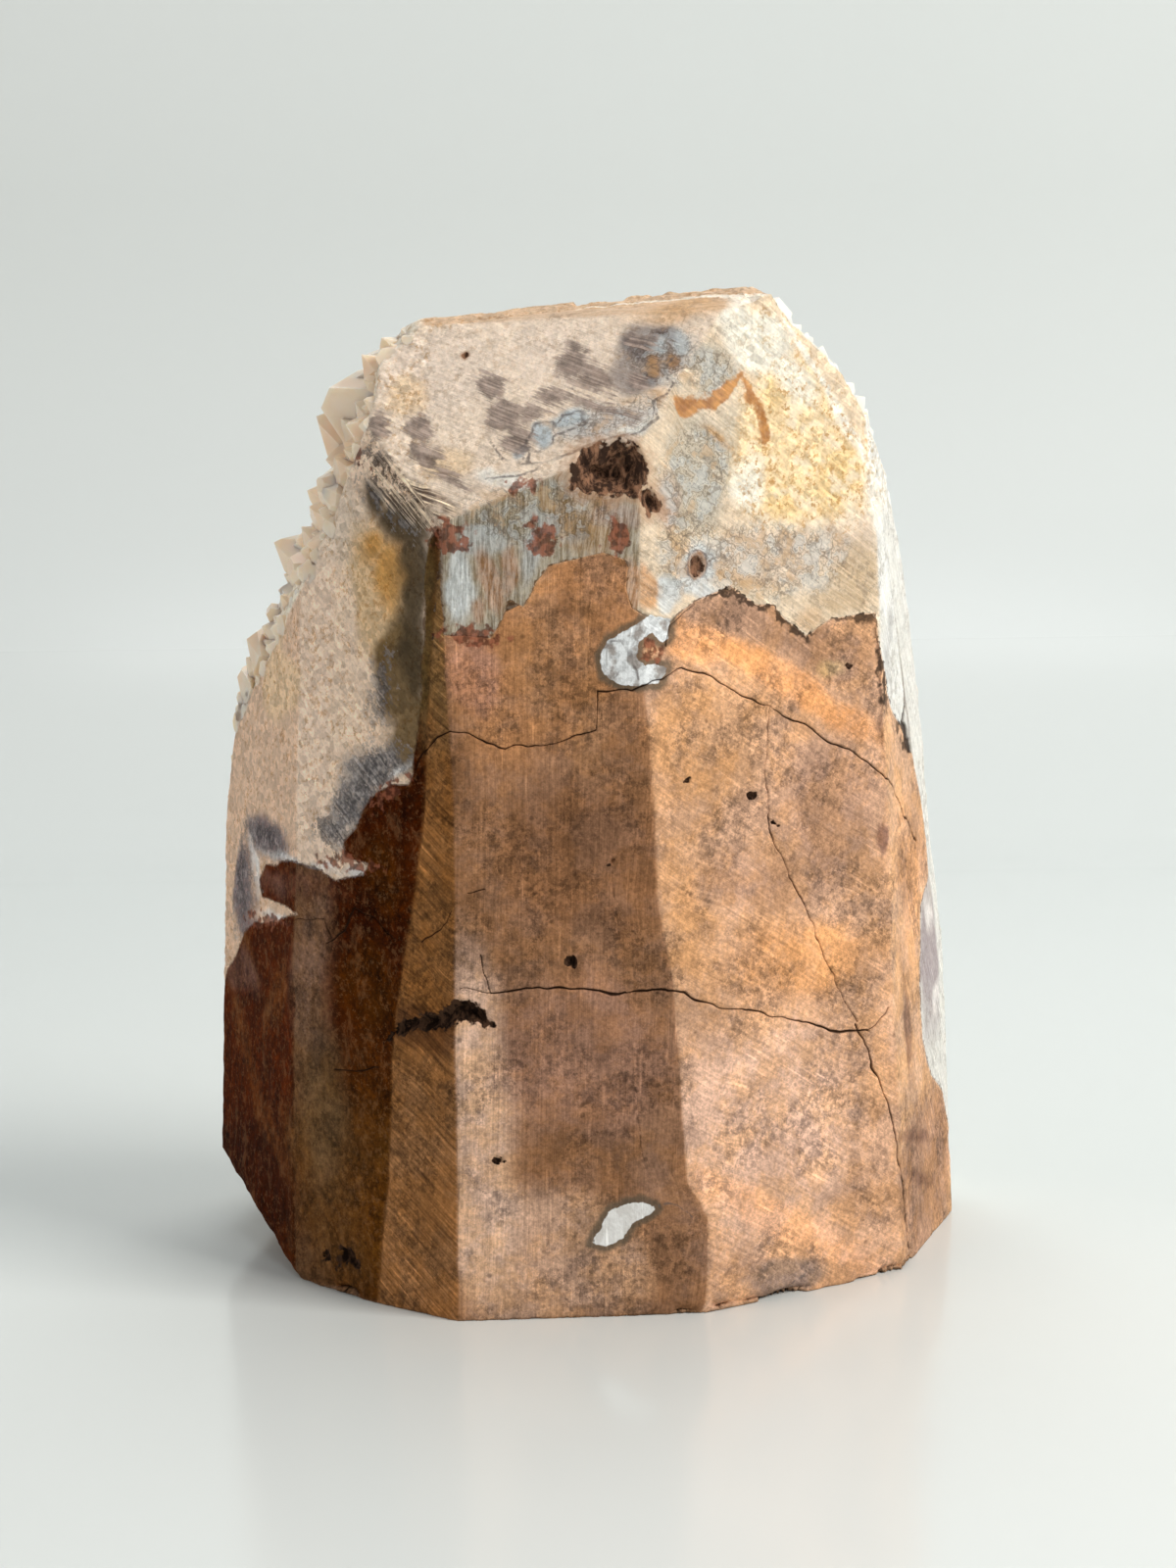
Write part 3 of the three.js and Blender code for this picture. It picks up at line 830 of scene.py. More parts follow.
CRUST_ZONES = {
    "slope": [
        ((0.82, 0.68, 0.57), 3, 0.6, [(-13, 91, 5, 4, 0), (-3, 93.6, 5, 2.5, 0)]),
        ((0.78, 0.53, 0.36), 1.5, 0.6, [(-8, 98.2, 9, 1, 4), (6, 98.6, 6, 1, 0)]),
        ((0.9, 0.82, 0.7), 1.5, 0.95, [(19, 98.4, 4.6, 3.4, 0)]),
        ((0.78, 0.56, 0.33), 1.5, 0.6, [(-12.5, 82.7, 2.5, 1.6, 0), (-16.5, 89, 2, 2, 0)]),
        ((0.62, 0.36, 0.16), 1.5, 0.7, [(9.5, 97, 4, 1, 10), (6.4, 88.4, 1.2, 0.8, -40)]),
        ((0.52, 0.47, 0.44), 1.2, 0.8, [(2.2, 86, 4.2, 1.6, 10)]),
        ((0.3, 0.25, 0.23), 1.4, 0.85, [(7, 93.4, 2.8, 2.4, 0), (5.2, 91.2, 1.8, 2, 0)]),
        ((0.16, 0.125, 0.12), 0.6, 0.8, [(5.4, 93.2, 0.9, 1.6, 30), (8, 94.8, 1.4, 0.7, 0),
                                         (6.4, 90.6, 0.7, 0.9, 0)]),
        ((0.34, 0.18, 0.08), 0.6, 0.8, [(6.6, 92, 0.6, 1.1, 20), (8.6, 92.2, 0.6, 0.7, 0)]),
        ((0.5, 0.53, 0.54), 0.6, 0.8, [(9.4, 93.8, 0.8, 1.2, 0), (7.4, 93.4, 0.7, 0.7, 0)]),
        ((0.82, 0.79, 0.73), 0.7, 0.85, [(4, 85, 3, 0.7, 18), (-7, 81, 2.4, 0.8, -10),
                                         (1, 79.6, 1.3, 0.8, -40), (7.4, 83.2, 0.6, 3, 12)]),
        ((0.46, 0.51, 0.54), 0.5, 0.95, [(-3.5, 85.2, 1, 1.3, 0), (-0.9, 86.8, 1.4, 0.7, 20),
                                         (-5.2, 83.5, 0.6, 0.7, 0)]),
        ((0.4, 0.24, 0.15), 1, 0.6, [(-17, 80.4, 3.4, 0.5, -36), (-13.5, 79, 3, 0.4, -30)]),
    ],
    "front": [
        ((0.38, 0.23, 0.105), 1.4, 0.8, [(1, 77.2, 3.6, 3, 0), (-6.8, 80, 2.2, 0.8, -30)]),
        ((0.6, 0.62, 0.61), 0.8, 0.9, [(-11.4, 71.2, 1.6, 3.4, 0)]),
        ((0.43, 0.42, 0.39), 0.8, 0.9, [(-9, 75.2, 2.6, 1.6, 0), (-4.6, 73.8, 0.8, 2.4, -12)]),
        ((0.38, 0.19, 0.085), 0.6, 0.9, [(-8.3, 71.4, 0.8, 3, 14), (-6.6, 72.4, 0.8, 2.4, -10),
                                         (-9.4, 69, 0.6, 1.4, 0)]),
        ((0.42, 0.28, 0.22), 0.8, 0.6, [(3.5, 77.4, 3, 1, 0)]),
        ((0.56, 0.29, 0.14), 0.6, 0.9, [(4.6, 70.8, 1.3, 2.8, 0)]),
    ],
    "strip": [((0.1, 0.065, 0.04), 1.5, 0.8, [(-14.2, 74, 1.5, 6, 0)])],
    "left": [
        ((0.75, 0.63, 0.52), 3, 0.7, [(-24, 77, 3, 5, 30)]),
        ((0.7, 0.47, 0.22), 3, 0.65, [(-19.2, 71, 3.6, 6, 0)]),
        ((0.6, 0.3, 0.07), 2.4, 0.85, [(-18, 72, 1.9, 3.4, -10), (-19.6, 74.6, 1.4, 1.4, 0)]),
        ((0.17, 0.105, 0.04), 1.8, 0.95, [(-17.4, 63, 2.4, 6, -8), (-16.8, 57, 2.2, 4.4, -8)]),
        ((0.085, 0.058, 0.03), 1.6, 0.95, [(-15.4, 72, 1.5, 6.5, 4), (-16.6, 76.6, 3.6, 1.8, -38),
                                           (-15.7, 65, 1.5, 5, 0), (-19.8, 79.4, 1.2, 2, 20)]),
        ((0.3, 0.28, 0.28), 2.0, 0.8, [(-20.4, 53.2, 2.6, 2.2, 30), (-22.6, 49.6, 2, 4, -30)]),
        ((0.2, 0.15, 0.17), 1.6, 0.85, [(-32.6, 44.6, 3, 2, 0), (-36.2, 38.5, 1.8, 4.6, 0),
                                        (-35.6, 34.4, 1.6, 1.6, 0)]),
        ((0.76, 0.74, 0.74), 0.7, 0.85, [(-28.5, 43, 4.4, 0.5, 0), (-22.2, 43.2, 1.2, 0.7, 20),
                                         (-34.4, 41.6, 0.5, 3, 8), (-31.6, 36.8, 2, 0.4, 10),
                                         (-17.8, 53.3, 1.4, 0.5, 40)]),
        ((0.85, 0.62, 0.38), 1.5, 0.6, [(-30.5, 60.8, 2.8, 3.8, 0), (-31.6, 66.4, 2, 3, 0)]),
    ],
    "right_front": [
        ((0.5, 0.44, 0.35), 2, 0.85, [(11.4, 81.5, 3.6, 5, -10), (12.5, 91, 2.4, 2.2, -30),
                                      (15, 86.8, 2, 1.8, 30)]),
        ((0.68, 0.54, 0.42), 2, 0.85, [(18, 73.4, 7.5, 3.2, 4), (25.4, 75, 4.6, 2.6, 10)]),
        ((0.56, 0.4, 0.24), 1.5, 0.75, [(27.8, 71, 2, 3.6, 0), (26, 68.6, 3.5, 1.2, 0),
                                        (9.4, 76, 1.6, 2, 0), (8.4, 87, 1, 2, 0)]),
        ((0.6, 0.38, 0.2), 1, 0.65, [(14.5, 71.2, 4, 0.7, -5), (9.4, 73.6, 0.8, 2.2, 20),
                                     (22.5, 67, 1.5, 1, 0)]),
        ((0.68, 0.7, 0.7), 0.7, 0.85, [(10.6, 70.8, 2.6, 0.9, -12), (11.2, 72.9, 1.9, 2, 0),
                                       (8.4, 70.4, 1.2, 1.8, 20)]),
        ((0.3, 0.155, 0.085), 0.4, 0.95, [(11.2, 72.9, 1.05, 1.35, 0)]),
        ((0.5, 0.32, 0.2), 0.4, 0.8, [(11.3, 72.7, 0.5, 0.7, 0)]),
        ((0.64, 0.35, 0.17), 0.6, 0.9, [(6.1, 71, 1.2, 2.3, 20)]),
        ((0.58, 0.38, 0.3), 1, 0.6, [(8, 79, 1.2, 2.4, 0)]),
        ((0.56, 0.48, 0.37), 2, 0.7, [(9.4, 84.5, 2, 5, -8)]),
        ((0.6, 0.33, 0.12), 0.6, 0.8, [(12.9, 85, 1.7, 0.45, -40)]),
        ((0.9, 0.68, 0.41), 3, 0.95, [(22.5, 84, 7.6, 7.8, -20)]),
        ((0.76, 0.52, 0.22), 1.5, 0.5, [(18.5, 90, 1.4, 2.5, 20), (25.4, 80.5, 1.8, 4, -20),
                                        (20.6, 79, 2, 1.6, 0)]),
        ((0.86, 0.81, 0.7), 1.6, 0.95, [(17, 94.2, 3.8, 3, -25), (14.4, 97, 2.4, 1.6, 0),
                                        (20.4, 90.6, 1.6, 4, 40), (16.4, 80.4, 1.8, 2.6, 0),
                                        (27.6, 86.6, 1.4, 4.6, 38), (29.2, 79, 0.8, 3.4, 8)]),
        ((0.93, 0.86, 0.75), 1.2, 0.95, [(25, 92.4, 2, 5.5, 42), (28.8, 85.6, 2, 5, 34),
                                         (31, 79, 1.2, 4.5, 10)]),
        ((0.58, 0.36, 0.15), 0.8, 0.7, [(28, 84.6, 0.5, 1.2, 30)]),
    ],
    "right": [
        ((0.93, 0.86, 0.75), 3, 0.95, [(30, 88, 9, 12, 0)]),
        ((0.82, 0.81, 0.77), 2, 0.8, [(31.2, 70, 1.4, 7, 3), (32, 60, 1, 3, 8)]),
        ((0.48, 0.47, 0.46), 0.7, 0.6, [(31.6, 72, 0.4, 5, 4), (31, 64, 0.4, 4, 0)]),
        ((0.34, 0.29, 0.25), 0.8, 0.9, [(34.4, 59, 0.9, 8, -3)]),
        ((0.8, 0.74, 0.64), 0.8, 0.8, [(34.6, 47.4, 0.8, 3.4, -12), (36.9, 37, 1, 5, 0)]),
        ((0.33, 0.26, 0.27), 2.2, 0.85, [(37, 30, 1.6, 8, 0)]),
        ((0.85, 0.8, 0.76), 0.8, 0.8, [(36.6, 34.6, 0.5, 1.6, 10), (37.8, 25, 0.5, 1.6, -10)]),
    ],
}
# How strongly the grinding marks show on each facet.
SCRATCHED = {
    "front": 1.0, "strip": 2.3, "left_a": 0.8, "left_b": 0.6, "left_front": 0.35,
    "right_front": 0.9, "right_low": 0.9, "right": 0.9, "slope": 0.4, "top": 0.05,
}
OTHER_SCRATCHED, TORN_SCRATCHED = 0.3, 2.2
# The size of the marks that push a soft zone's edge about, each up to some softness.
EDGE_SIZES = {2: 1, 4: 2.5, 8: math.inf}
EDGE_PUSH, EDGE_PUSH_SOFT = 0.4, 0.55  # how far, and how much farther for its softness
CONTACT_WIDTH = 0.2  # over which the rock's broad colour turns into the crust's


def painted(points, places, facet_share, fields):
    """The stone's broad colour at each point, with the painted light, shade and sheen that the
    rock's base colours and some zones hold.
    """
    rock = np.zeros((len(points), 3))
    crust = np.zeros((len(points), 3))
    for k, name in enumerate(NAMES):
        share = facet_share[:, k : k + 1]
        plain = DRUSE_BASE if name in NATURAL else OTHER_CRUST
        crust += share * np.array(CRUST_BASE.get(name, plain))
        rock += share * np.array(ROCK_BASE.get(name, OTHER_ROCK))
    pushes = {size: waver(points, size, seed=310 + size) for size in EDGE_SIZES}
    for colours, groups in ((rock, ROCK_ZONES), (crust, CRUST_ZONES)):
        for group, zones in groups.items():
            limit = sum(facet_share[:, NUMBER[name]] for name in GROUPS[group])
            for tint, soft, strength, spots in zones:
                size = min(size for size, softest in EDGE_SIZES.items() if soft < softest)
                near = places + (EDGE_PUSH + EDGE_PUSH_SOFT * soft) / UNIT * pushes[size]
                amount = smooth(0.5 + inside_spots(near, spots) / soft) * strength * limit
                colours += amount[:, None] * (np.array(tint) - colours)
    mixed = smooth(0.5 + fields["quartz"] / CONTACT_WIDTH)[:, None]
    return np.clip(rock + mixed * (crust - rock), 0, 1)


def region(points, places, spots, reach, size, seed):
    """Distance inside some spots whose edges are made uneven, from -3 to 3 millimetres."""
    near = wavered(places, points, reach, size, seed)
    return np.clip(inside_spots(near, spots), -SHOWN, SHOWN)


# Where a kind of crust begins, and over what width, in the units of places. LEFT counts
# leftwards.
LEFT, SHELF, HIGH, HIGH_RIGHT = (13.8, 1.5), (-22, 3), (76, 3), (13.5, 2.5)
CRUMBLY_HIGH, CRUMBLY_RIGHT = (74, 4), (12, 6)
SHELF_SUGAR = 0.45
STAIN_WIDTH, STAIN_UNEVEN = 0.78, 0.4
STREAKED, STREAKED_FRONT = 0.3, 0.45
SPOT_FIELDS = (  # (name, spots, reach, size and seed of their uneven edge, softness)
    ("honey", HONEY, 1.5, 5, 97, 4),
    ("agate", AGATE, 0.8, 3, 103, 1.6),
    ("torn", TORN, 0.8, 3, 113, 1.5),
    ("rim", DARK_RIMS, 0.8, 3, 109, 1.2),
)


def past(value, begins):
    """From 0 to 1 as a place goes past where something begins."""
    start, width = begins
    return smooth((value - start) / width)


def surface_fields(points):
    """Everything that the shape and the colours need to know at each point."""
    places = placed(points)
    across, up = places.T
    own = facet_shares(lateral(points)[0])
    fields = {"quartz": quartz_depth(points, places)}
    fields["crack"] = np.minimum(crack_gap(points, places), SHOWN)
    fields["vug"], fields["vug_depth"] = vug_depth(points, places)
    fields["ridge"] = ridge_distance(points)
    fields["base"] = own[:, NUMBER["base"]]
    near = wavered(places, points, reach=0.25, size=1.4, seed=71)
    inside = np.max([inside_outline(near, outline) for outline in INLAYS], axis=0)
    fields["inlay"] = np.clip(inside, -SHOWN, SHOWN)
    lines = np.min([to_line(near, line) for line in DARK_LINES], axis=0)
    fields["line"] = np.minimum(lines, SHOWN)
    near = wavered(places, points, reach=0.4, size=2, seed=91)
    wide = STAIN_WIDTH + STAIN_UNEVEN * noise(points, size=2.5, seed=93)
    stain = np.max([wide - to_line(near, line) for line in ORANGE_STAINS], axis=0)
    fields["stain"] = np.clip(stain, -SHOWN, SHOWN)
    fields["smoke"] = region(points, places, SMOKE, reach=0.5, size=2.2, seed=81)
    fields["red"] = region(points, places, RED, reach=0.5, size=1.8, seed=87)
    for name, spots, reach, size, seed, soft in SPOT_FIELDS:
        fields[name] = smooth(0.5 + region(points, places, spots, reach, size, seed) / soft)
    left = past(-across, LEFT)
    shelf = own[:, NUMBER["slope"]] * past(across, SHELF)
    high = past(up, HIGH) * past(across, HIGH_RIGHT)
    natural = own[:, ~IS_GROUND].sum(axis=1)
    sugar = left + fields["honey"] + high + SHELF_SUGAR * shelf + natural
    fields["sugar"] = np.clip(sugar, 0, 1)
    fields["crumbly"] = past(up, CRUMBLY_HIGH) * past(across, CRUMBLY_RIGHT)
    scratched = np.array([SCRATCHED.get(name, OTHER_SCRATCHED) for name in NAMES])
    fields["scratch"] = own @ scratched + TORN_SCRATCHED * fields["torn"]
    fields["streak"] = STREAKED + STREAKED_FRONT * own[:, NUMBER["front"]]
    fields["cool"] = sum(own[:, NUMBER[name]] for name in GROUPS["left"]) * left
    fields["hue"] = painted(points, places, own, fields)
    return fields


# ---- Two closed pieces along the contact -----------------------------------------

SNAP = 0.12  # points nearer to the contact than this share of an edge lie on it


def split_at_contact(points, triangles, facet, depth):
    """The mesh cut exactly where depth is 0, and which triangles lie on the crust's side."""
    a, b, edge = edges_of(triangles, len(points))
    short = np.full(len(points), np.inf)
    length = np.linalg.norm(points[a] - points[b], axis=1)
    np.minimum.at(short, a, length)
    np.minimum.at(short, b, length)
    depth = np.where(np.abs(depth) < SNAP * short, 0, depth)
    crossed = depth[a] * depth[b] < 0
    added = np.full(len(a), -1)
    added[crossed] = len(points) + np.arange(crossed.sum())
    t = (depth[a] / np.where(crossed, depth[a] - depth[b], 1))[crossed]
    new = points[a[crossed]] + (points[b[crossed]] - points[a[crossed]]) * t[:, None]
    points = np.vstack([points, new])
    depth = np.concatenate([depth, np.zeros(len(new))])
    cuts = (added[edge] >= 0).sum(axis=1)
    rows = np.arange(len(triangles))
    parts = [(triangles[cuts == 0], facet[cuts == 0])]
    for count in (1, 2):
        own = rows[cuts == count]
        has = added[edge[own]] >= 0
        lone = np.argmax(has, axis=1) if count == 1 else (np.argmin(has, axis=1) + 2) % 3
        turn = (lone[:, None] + np.arange(3)) % 3
        v0, v1, v2 = triangles[own[:, None], turn].T
        m0, _, m2 = added[edge[own[:, None], turn]].T
        if count == 1:  # the cut runs from the side v0 v1 to the corner v2
            made = [(v0, m0, v2), (m0, v1, v2)]
        else:  # v0 is alone on its side: the cut crosses v0 v1 and v2 v0
            made = [(v0, m0, m2), (m0, v1, v2), (m0, v2, m2)]
        parts += [(np.stack(part, axis=1), facet[own]) for part in made]
    triangles = np.vstack([part for part, _ in parts])
    facet = np.concatenate([number for _, number in parts])
    return points, triangles, facet, depth[triangles].sum(axis=1) > 0


def largest_group(triangles, count):
    """Marks the triangles of the largest connected group."""
    label = np.arange(count)
    while True:
        low = label[triangles].min(axis=1)
        new = label.copy()
        for k in range(3):
            np.minimum.at(new, triangles[:, k], low)
        new = new[new]
        if (new == label).all():
            break
        label = new
    tags, size = np.unique(label[triangles[:, 0]], return_counts=True)
    return label[triangles[:, 0]] == tags[size.argmax()]


def border_loop(triangles):
    """The points along the open border of some triangles, in order."""
    pairs = np.concatenate([triangles[:, [0, 1]], triangles[:, [1, 2]], triangles[:, [2, 0]]])
    known = {(int(a), int(b)) for a, b in pairs}
    after = {a: b for a, b in known if (b, a) not in known}
    loops = []
    while after:
        start = min(after)
        loop, at = [start], after.pop(start)
        while at != start:
            loop.append(at)
            at = after.pop(at)
        loops.append(loop)
    return max(loops, key=len)


SHEET_STEP = 2.5  # between the sheet's inner points, in millimetres
SHEET_EDGE = 0.6  # no inner point is nearer to the ring, in millimetres
SHEET_ROUNDS = 1500  # of smoothing
SHEET_SUNK = (0.9, 2.2)  # it goes this share of the way in, for so many millimetres


def contact_sheet(points, flat):
    """Points and triangles of a smooth sheet across a ring of points, facing towards +Y.

    flat is the same ring seen from the front."""
    xs = np.arange(flat[:, 0].min(), flat[:, 0].max(), SHEET_STEP)
    zs = np.arange(flat[:, 1].min(), flat[:, 1].max(), SHEET_STEP)
    grid = np.stack(np.meshgrid(xs, zs), axis=-1).reshape(-1, 2)
    depth = inside_outline(grid / UNIT, [tuple(p) for p in flat / UNIT])
    grid, depth = grid[depth > SHEET_EDGE], depth[depth > SHEET_EDGE]
    count = len(flat)
    sheet = [Vector(p) for p in np.vstack([flat, grid])]
    sides = [(k, (k + 1) % count) for k in range(count)]
    made, _, faces, origin, _, _ = delaunay_2d_cdt(sheet, sides, [], 1, 1e-7)
    source = np.array([o[0] if o else -1 for o in origin])
    if len(made) != len(sheet) or (source < 0).any():
        raise RuntimeError("the contact's outline crosses itself")
    faces = source[np.array([list(f) for f in faces])]
    a, b, _ = edges_of(faces, len(sheet))
    y = np.concatenate([points[:, 1], np.full(len(grid), points[:, 1].mean())])
    links = np.bincount(np.concatenate([a, b]), minlength=len(y))
    for _ in range(SHEET_ROUNDS):
        total = np.bincount(np.concatenate([a, b]), np.concatenate([y[b], y[a]]), len(y))
        y[count:] = (total / links)[count:]
    share, most = SHEET_SUNK
    sunk = share * np.minimum(depth, most)  # clear of the facets beside the ring
    inner = np.stack([grid[:, 0], y[count:] + sunk, grid[:, 1]], axis=1)
    corner = np.array([[sheet[k][0], sheet[k][1]] for k in range(len(sheet))])[faces]
    u, v = corner[:, 1] - corner[:, 0], corner[:, 2] - corner[:, 0]
    turned = u[:, 0] * v[:, 1] - u[:, 1] * v[:, 0] > 0
    faces[turned] = faces[turned][:, ::-1]
    return inner, faces


# Which way the grinding marks run on each facet, in degrees from level.
GRIND_TILT = {
    "front": 88, "strip": -38, "left_a": -42, "left_b": -50, "left_front": 78,
    "right_front": -33, "right_low": -33, "right": -60, "slope": -24, "top": 10,
}
OTHER_TILT = 70
GRIND_APART = 31.0  # keeps the marks of one facet from running on in the next, in millimetres


def grind_places(points, triangles, facet):
    """For each corner of each triangle: places along and across the grinding marks."""
    corners = points[triangles]
    result = np.zeros((len(triangles), 3, 3))
    for k, name in enumerate(NAMES):
        own = facet == k
        level, rise = frame_of(NORMALS[k])
        turn = math.radians(GRIND_TILT.get(name, OTHER_TILT))
        along = level * math.cos(turn) + rise * math.sin(turn)
        across = rise * math.cos(turn) - level * math.sin(turn)
        apart = np.full((own.sum(), 3), GRIND_APART * k)
        result[own] = np.stack([corners[own] @ along, corners[own] @ across, apart], axis=-1)
    return result


def to_object(name, points, triangles, fields=None, grind=None, flat=False):
    """A Blender mesh object from points in millimetres, with fields given at the points and
    grind at the triangles' corners."""
    used, index = np.unique(triangles, return_inverse=True)
    index = index.reshape(-1, 3).astype(np.int32)
    mesh = bpy.data.meshes.new(name)
    mesh.vertices.add(len(used))
    mesh.vertices.foreach_set("co", (points[used] * MM).astype(np.float32).ravel())
    mesh.loops.add(index.size)
    mesh.loops.foreach_set("vertex_index", index.ravel())
    mesh.polygons.add(len(index))
    mesh.polygons.foreach_set("loop_start", np.arange(0, index.size, 3, dtype=np.int32))
    mesh.polygons.foreach_set("use_smooth", np.full(len(index), not flat))
    mesh.update(calc_edges=True)
    for key, values in (fields or {}).items():
        vector = values.ndim == 2
        layer = mesh.attributes.new(key, "FLOAT_VECTOR" if vector else "FLOAT", "POINT")
        values = values[used].astype(np.float32).ravel()
        layer.data.foreach_set("vector" if vector else "value", values)
    if grind is not None:
        layer = mesh.attributes.new("grind", "FLOAT_VECTOR", "CORNER")
        layer.data.foreach_set("vector", grind.astype(np.float32).ravel())
    obj = bpy.data.objects.new(name, mesh)
    bpy.context.scene.collection.objects.link(obj)
    return obj


# The fields that the shaders read, and their value on the hidden contact.
SHOWN_FIELDS = (
    "quartz", "crack", "vug", "inlay", "line", "smoke", "red", "stain", "honey", "cool",
    "streak", "sugar", "agate", "scratch", "torn", "rim", "hue",
)
HIDDEN_VALUE = 0.3


def build_stone():
    """The host rock and the quartz crust, two closed pieces that meet along their contact."""
    points, triangles, facet = refined(*coarse_block())
    depth = quartz_depth(points, placed(points))
    points, triangles, facet, in_crust = split_at_contact(points, triangles, facet, depth)
    for crust in (False, True):  # what is cut off on one side goes to the other
        side = np.flatnonzero(in_crust == crust)
        keep = largest_group(triangles[side], len(points))
        in_crust[side[~keep]] = not crust
    fields = surface_fields(points)
    moved = shaped(points, fields)
    loop = border_loop(triangles[~in_crust])
    inner, sheet = contact_sheet(moved[loop], points[loop][:, [0, 2]])
    number = np.concatenate([np.array(loop), len(moved) + np.arange(len(inner))])
    sheet = number[sheet]
    everything = np.vstack([moved, inner])
    shown = {}
    for key in SHOWN_FIELDS:
        hidden = np.full((len(inner),) + fields[key].shape[1:], HIDDEN_VALUE)
        shown[key] = np.concatenate([fields[key], hidden])
    pieces = []
    for name, own, cap in (
        ("host_rock_ground", ~in_crust, sheet),
        ("quartz_crust", in_crust, sheet[:, ::-1]),
    ):
        grind = grind_places(points, triangles[own], facet[own])
        grind = np.concatenate([grind, np.zeros((len(cap), 3, 3))])
        faces = np.vstack([triangles[own], cap])
        pieces.append(to_object(name, everything, faces, shown, grind))
    return pieces


# ---- Shaders -------------------------------------------------------------------

# How deep the light goes into the crust, in millimetres, and how it is coloured there.
CRUST_GLOW_DEPTH = 1.4
GLOW_COLOUR = (1.0, 0.75, 0.5)


class Shader:
    """A material's node tree, with one short call for each kind of node."""

    def __init__(self, name):
        self.material = bpy.data.materials.new(name)
        self.material.use_nodes = True
        self.tree = self.material.node_tree
        self.tree.nodes.clear()

    def node(self, kind, **settings):
        made = self.tree.nodes.new("ShaderNode" + kind)
        for key, value in settings.items():
            setattr(made, key, value)
        return made

    def plug(self, socket, value):
        if isinstance(value, bpy.types.NodeSocket):
            self.tree.links.new(value, socket)
        else:
            socket.default_value = value

    def field(self, name, output="Fac"):
        return self.node("Attribute", attribute_name=name).outputs[output]

    def millimetres(self):
        """Object coordinates in millimetres."""
        place = self.node("TexCoord").outputs["Object"]
        return self.scaled(place, (1 / MM,) * 3)

    def separated(self, vector):
        """A vector's x, y and z."""
        made = self.node("SeparateXYZ")
        self.plug(made.inputs[0], vector)
        return tuple(made.outputs)

    def scaled(self, vector, factors):
        made = self.node("VectorMath", operation="MULTIPLY")
        self.plug(made.inputs[0], vector)
        self.plug(made.inputs[1], factors)
        return made.outputs[0]

    def moved(self, vector, other, amount):
        """vector + (other - half) * amount."""
        shift = self.node("VectorMath", operation="MULTIPLY_ADD")
        self.plug(shift.inputs[0], other)
        self.plug(shift.inputs[1], (amount,) * 3)
        self.plug(shift.inputs[2], vector)
        return shift.outputs[0]

    def math(self, operation, a, b=0.0, clamp=False):
        made = self.node("Math", operation=operation, use_clamp=clamp)
        self.plug(made.inputs[0], a)
        self.plug(made.inputs[1], b)
        return made.outputs[0]

    def plus(self, a, b):
        return self.math("ADD", a, b)

    def times(self, a, b):
        return self.math("MULTIPLY", a, b)

    def fade(self, value, low, high, start=0.0, end=1.0):
        """Smoothly from start, at low, to end, at high."""
        made = self.node("MapRange", interpolation_type="SMOOTHSTEP", clamp=True)
        for k, setting in enumerate((value, low, high, start, end)):
            self.plug(made.inputs[k], setting)
        return made.outputs[0]

    def noise(self, place, size, detail=2.0, rough=0.5, output="Fac"):
        """Noise with marks about size millimetres across, from 0 to 1."""
        made = self.node("TexNoise")
        self.plug(made.inputs["Vector"], place)
        self.plug(made.inputs["Scale"], 1 / size)
        self.plug(made.inputs["Detail"], detail)
        self.plug(made.inputs["Roughness"], rough)
        return made.outputs[output]

    def cells(self, place, size, feature="F1", output="Distance"):
        made = self.node("TexVoronoi", feature=feature)
        self.plug(made.inputs["Vector"], place)
        self.plug(made.inputs["Scale"], 1 / size)
        return made.outputs[output]

    def mix(self, amount, a, b, kind="MIX"):
        """Colour a, turned into b by amount."""
        made = self.node("Mix", data_type="RGBA", blend_type=kind)
        self.plug(made.inputs["Factor"], amount)
        sockets = [s for s in made.inputs if s.type == "RGBA"]
        for socket, value in zip(sockets, (a, b)):
            if isinstance(value, tuple) and len(value) == 3:
                value = (*value, 1.0)
            self.plug(socket, value)
        return [s for s in made.outputs if s.type == "RGBA"][0]

    def tinted(self, colour, tint):
        """The colour times another one."""
        return self.mix(1.0, colour, tint, "MULTIPLY")

    def shade(self, colour, factor):
        """The colour times a number."""
        made = self.node("VectorMath", operation="SCALE")
        self.plug(made.inputs[0], colour)
        self.plug(made.inputs["Scale"], factor)
        return made.outputs[0]

    def bump(self, height, distance, normal=None, strength=1.0):
        """A bumped normal, with distance in millimetres."""
        made = self.node("Bump")
        self.plug(made.inputs["Height"], height)
        self.plug(made.inputs["Distance"], distance * MM)
        self.plug(made.inputs["Strength"], strength)
        if normal is not None:
            self.plug(made.inputs["Normal"], normal)
        return made.outputs[0]

    def finish(self, **inputs):
        """The surface shader: inputs by name, with _ for each space."""
        made = self.node("BsdfPrincipled")
        for key, value in inputs.items():
            if isinstance(value, tuple) and len(value) == 3 and key.endswith("Color"):
                value = (*value, 1.0)
            self.plug(made.inputs[key.replace("_", " ")], value)
        out = self.node("OutputMaterial")
        self.tree.links.new(made.outputs[0], out.inputs["Surface"])
        return out


def grind_marks(s, place, grind, strength):
    """(fine even marks, sparse bright scratches) left by the grinding, both from 0 to 1."""
    fine = s.noise(s.scaled(grind, (0.09, 2.8, 1.0)), 1.0, detail=3, rough=0.65)
    sparse = s.noise(s.scaled(grind, (0.16, 2.2, 1.0)), 1.0, detail=1)
    patches = s.fade(s.noise(place, 9, detail=1), 0.42, 0.62)
    bright = s.times(s.fade(sparse, 0.62, 0.74), patches)
    return fine, s.times(bright, strength)


def contrast(s, amount, value, reach):
    """A factor about 1 that follows value, from 0 to 1, by reach times amount."""
    around = s.math("SUBTRACT", value, 0.5)
    return s.plus(s.times(s.times(around, 2 * reach), amount), 1.0)


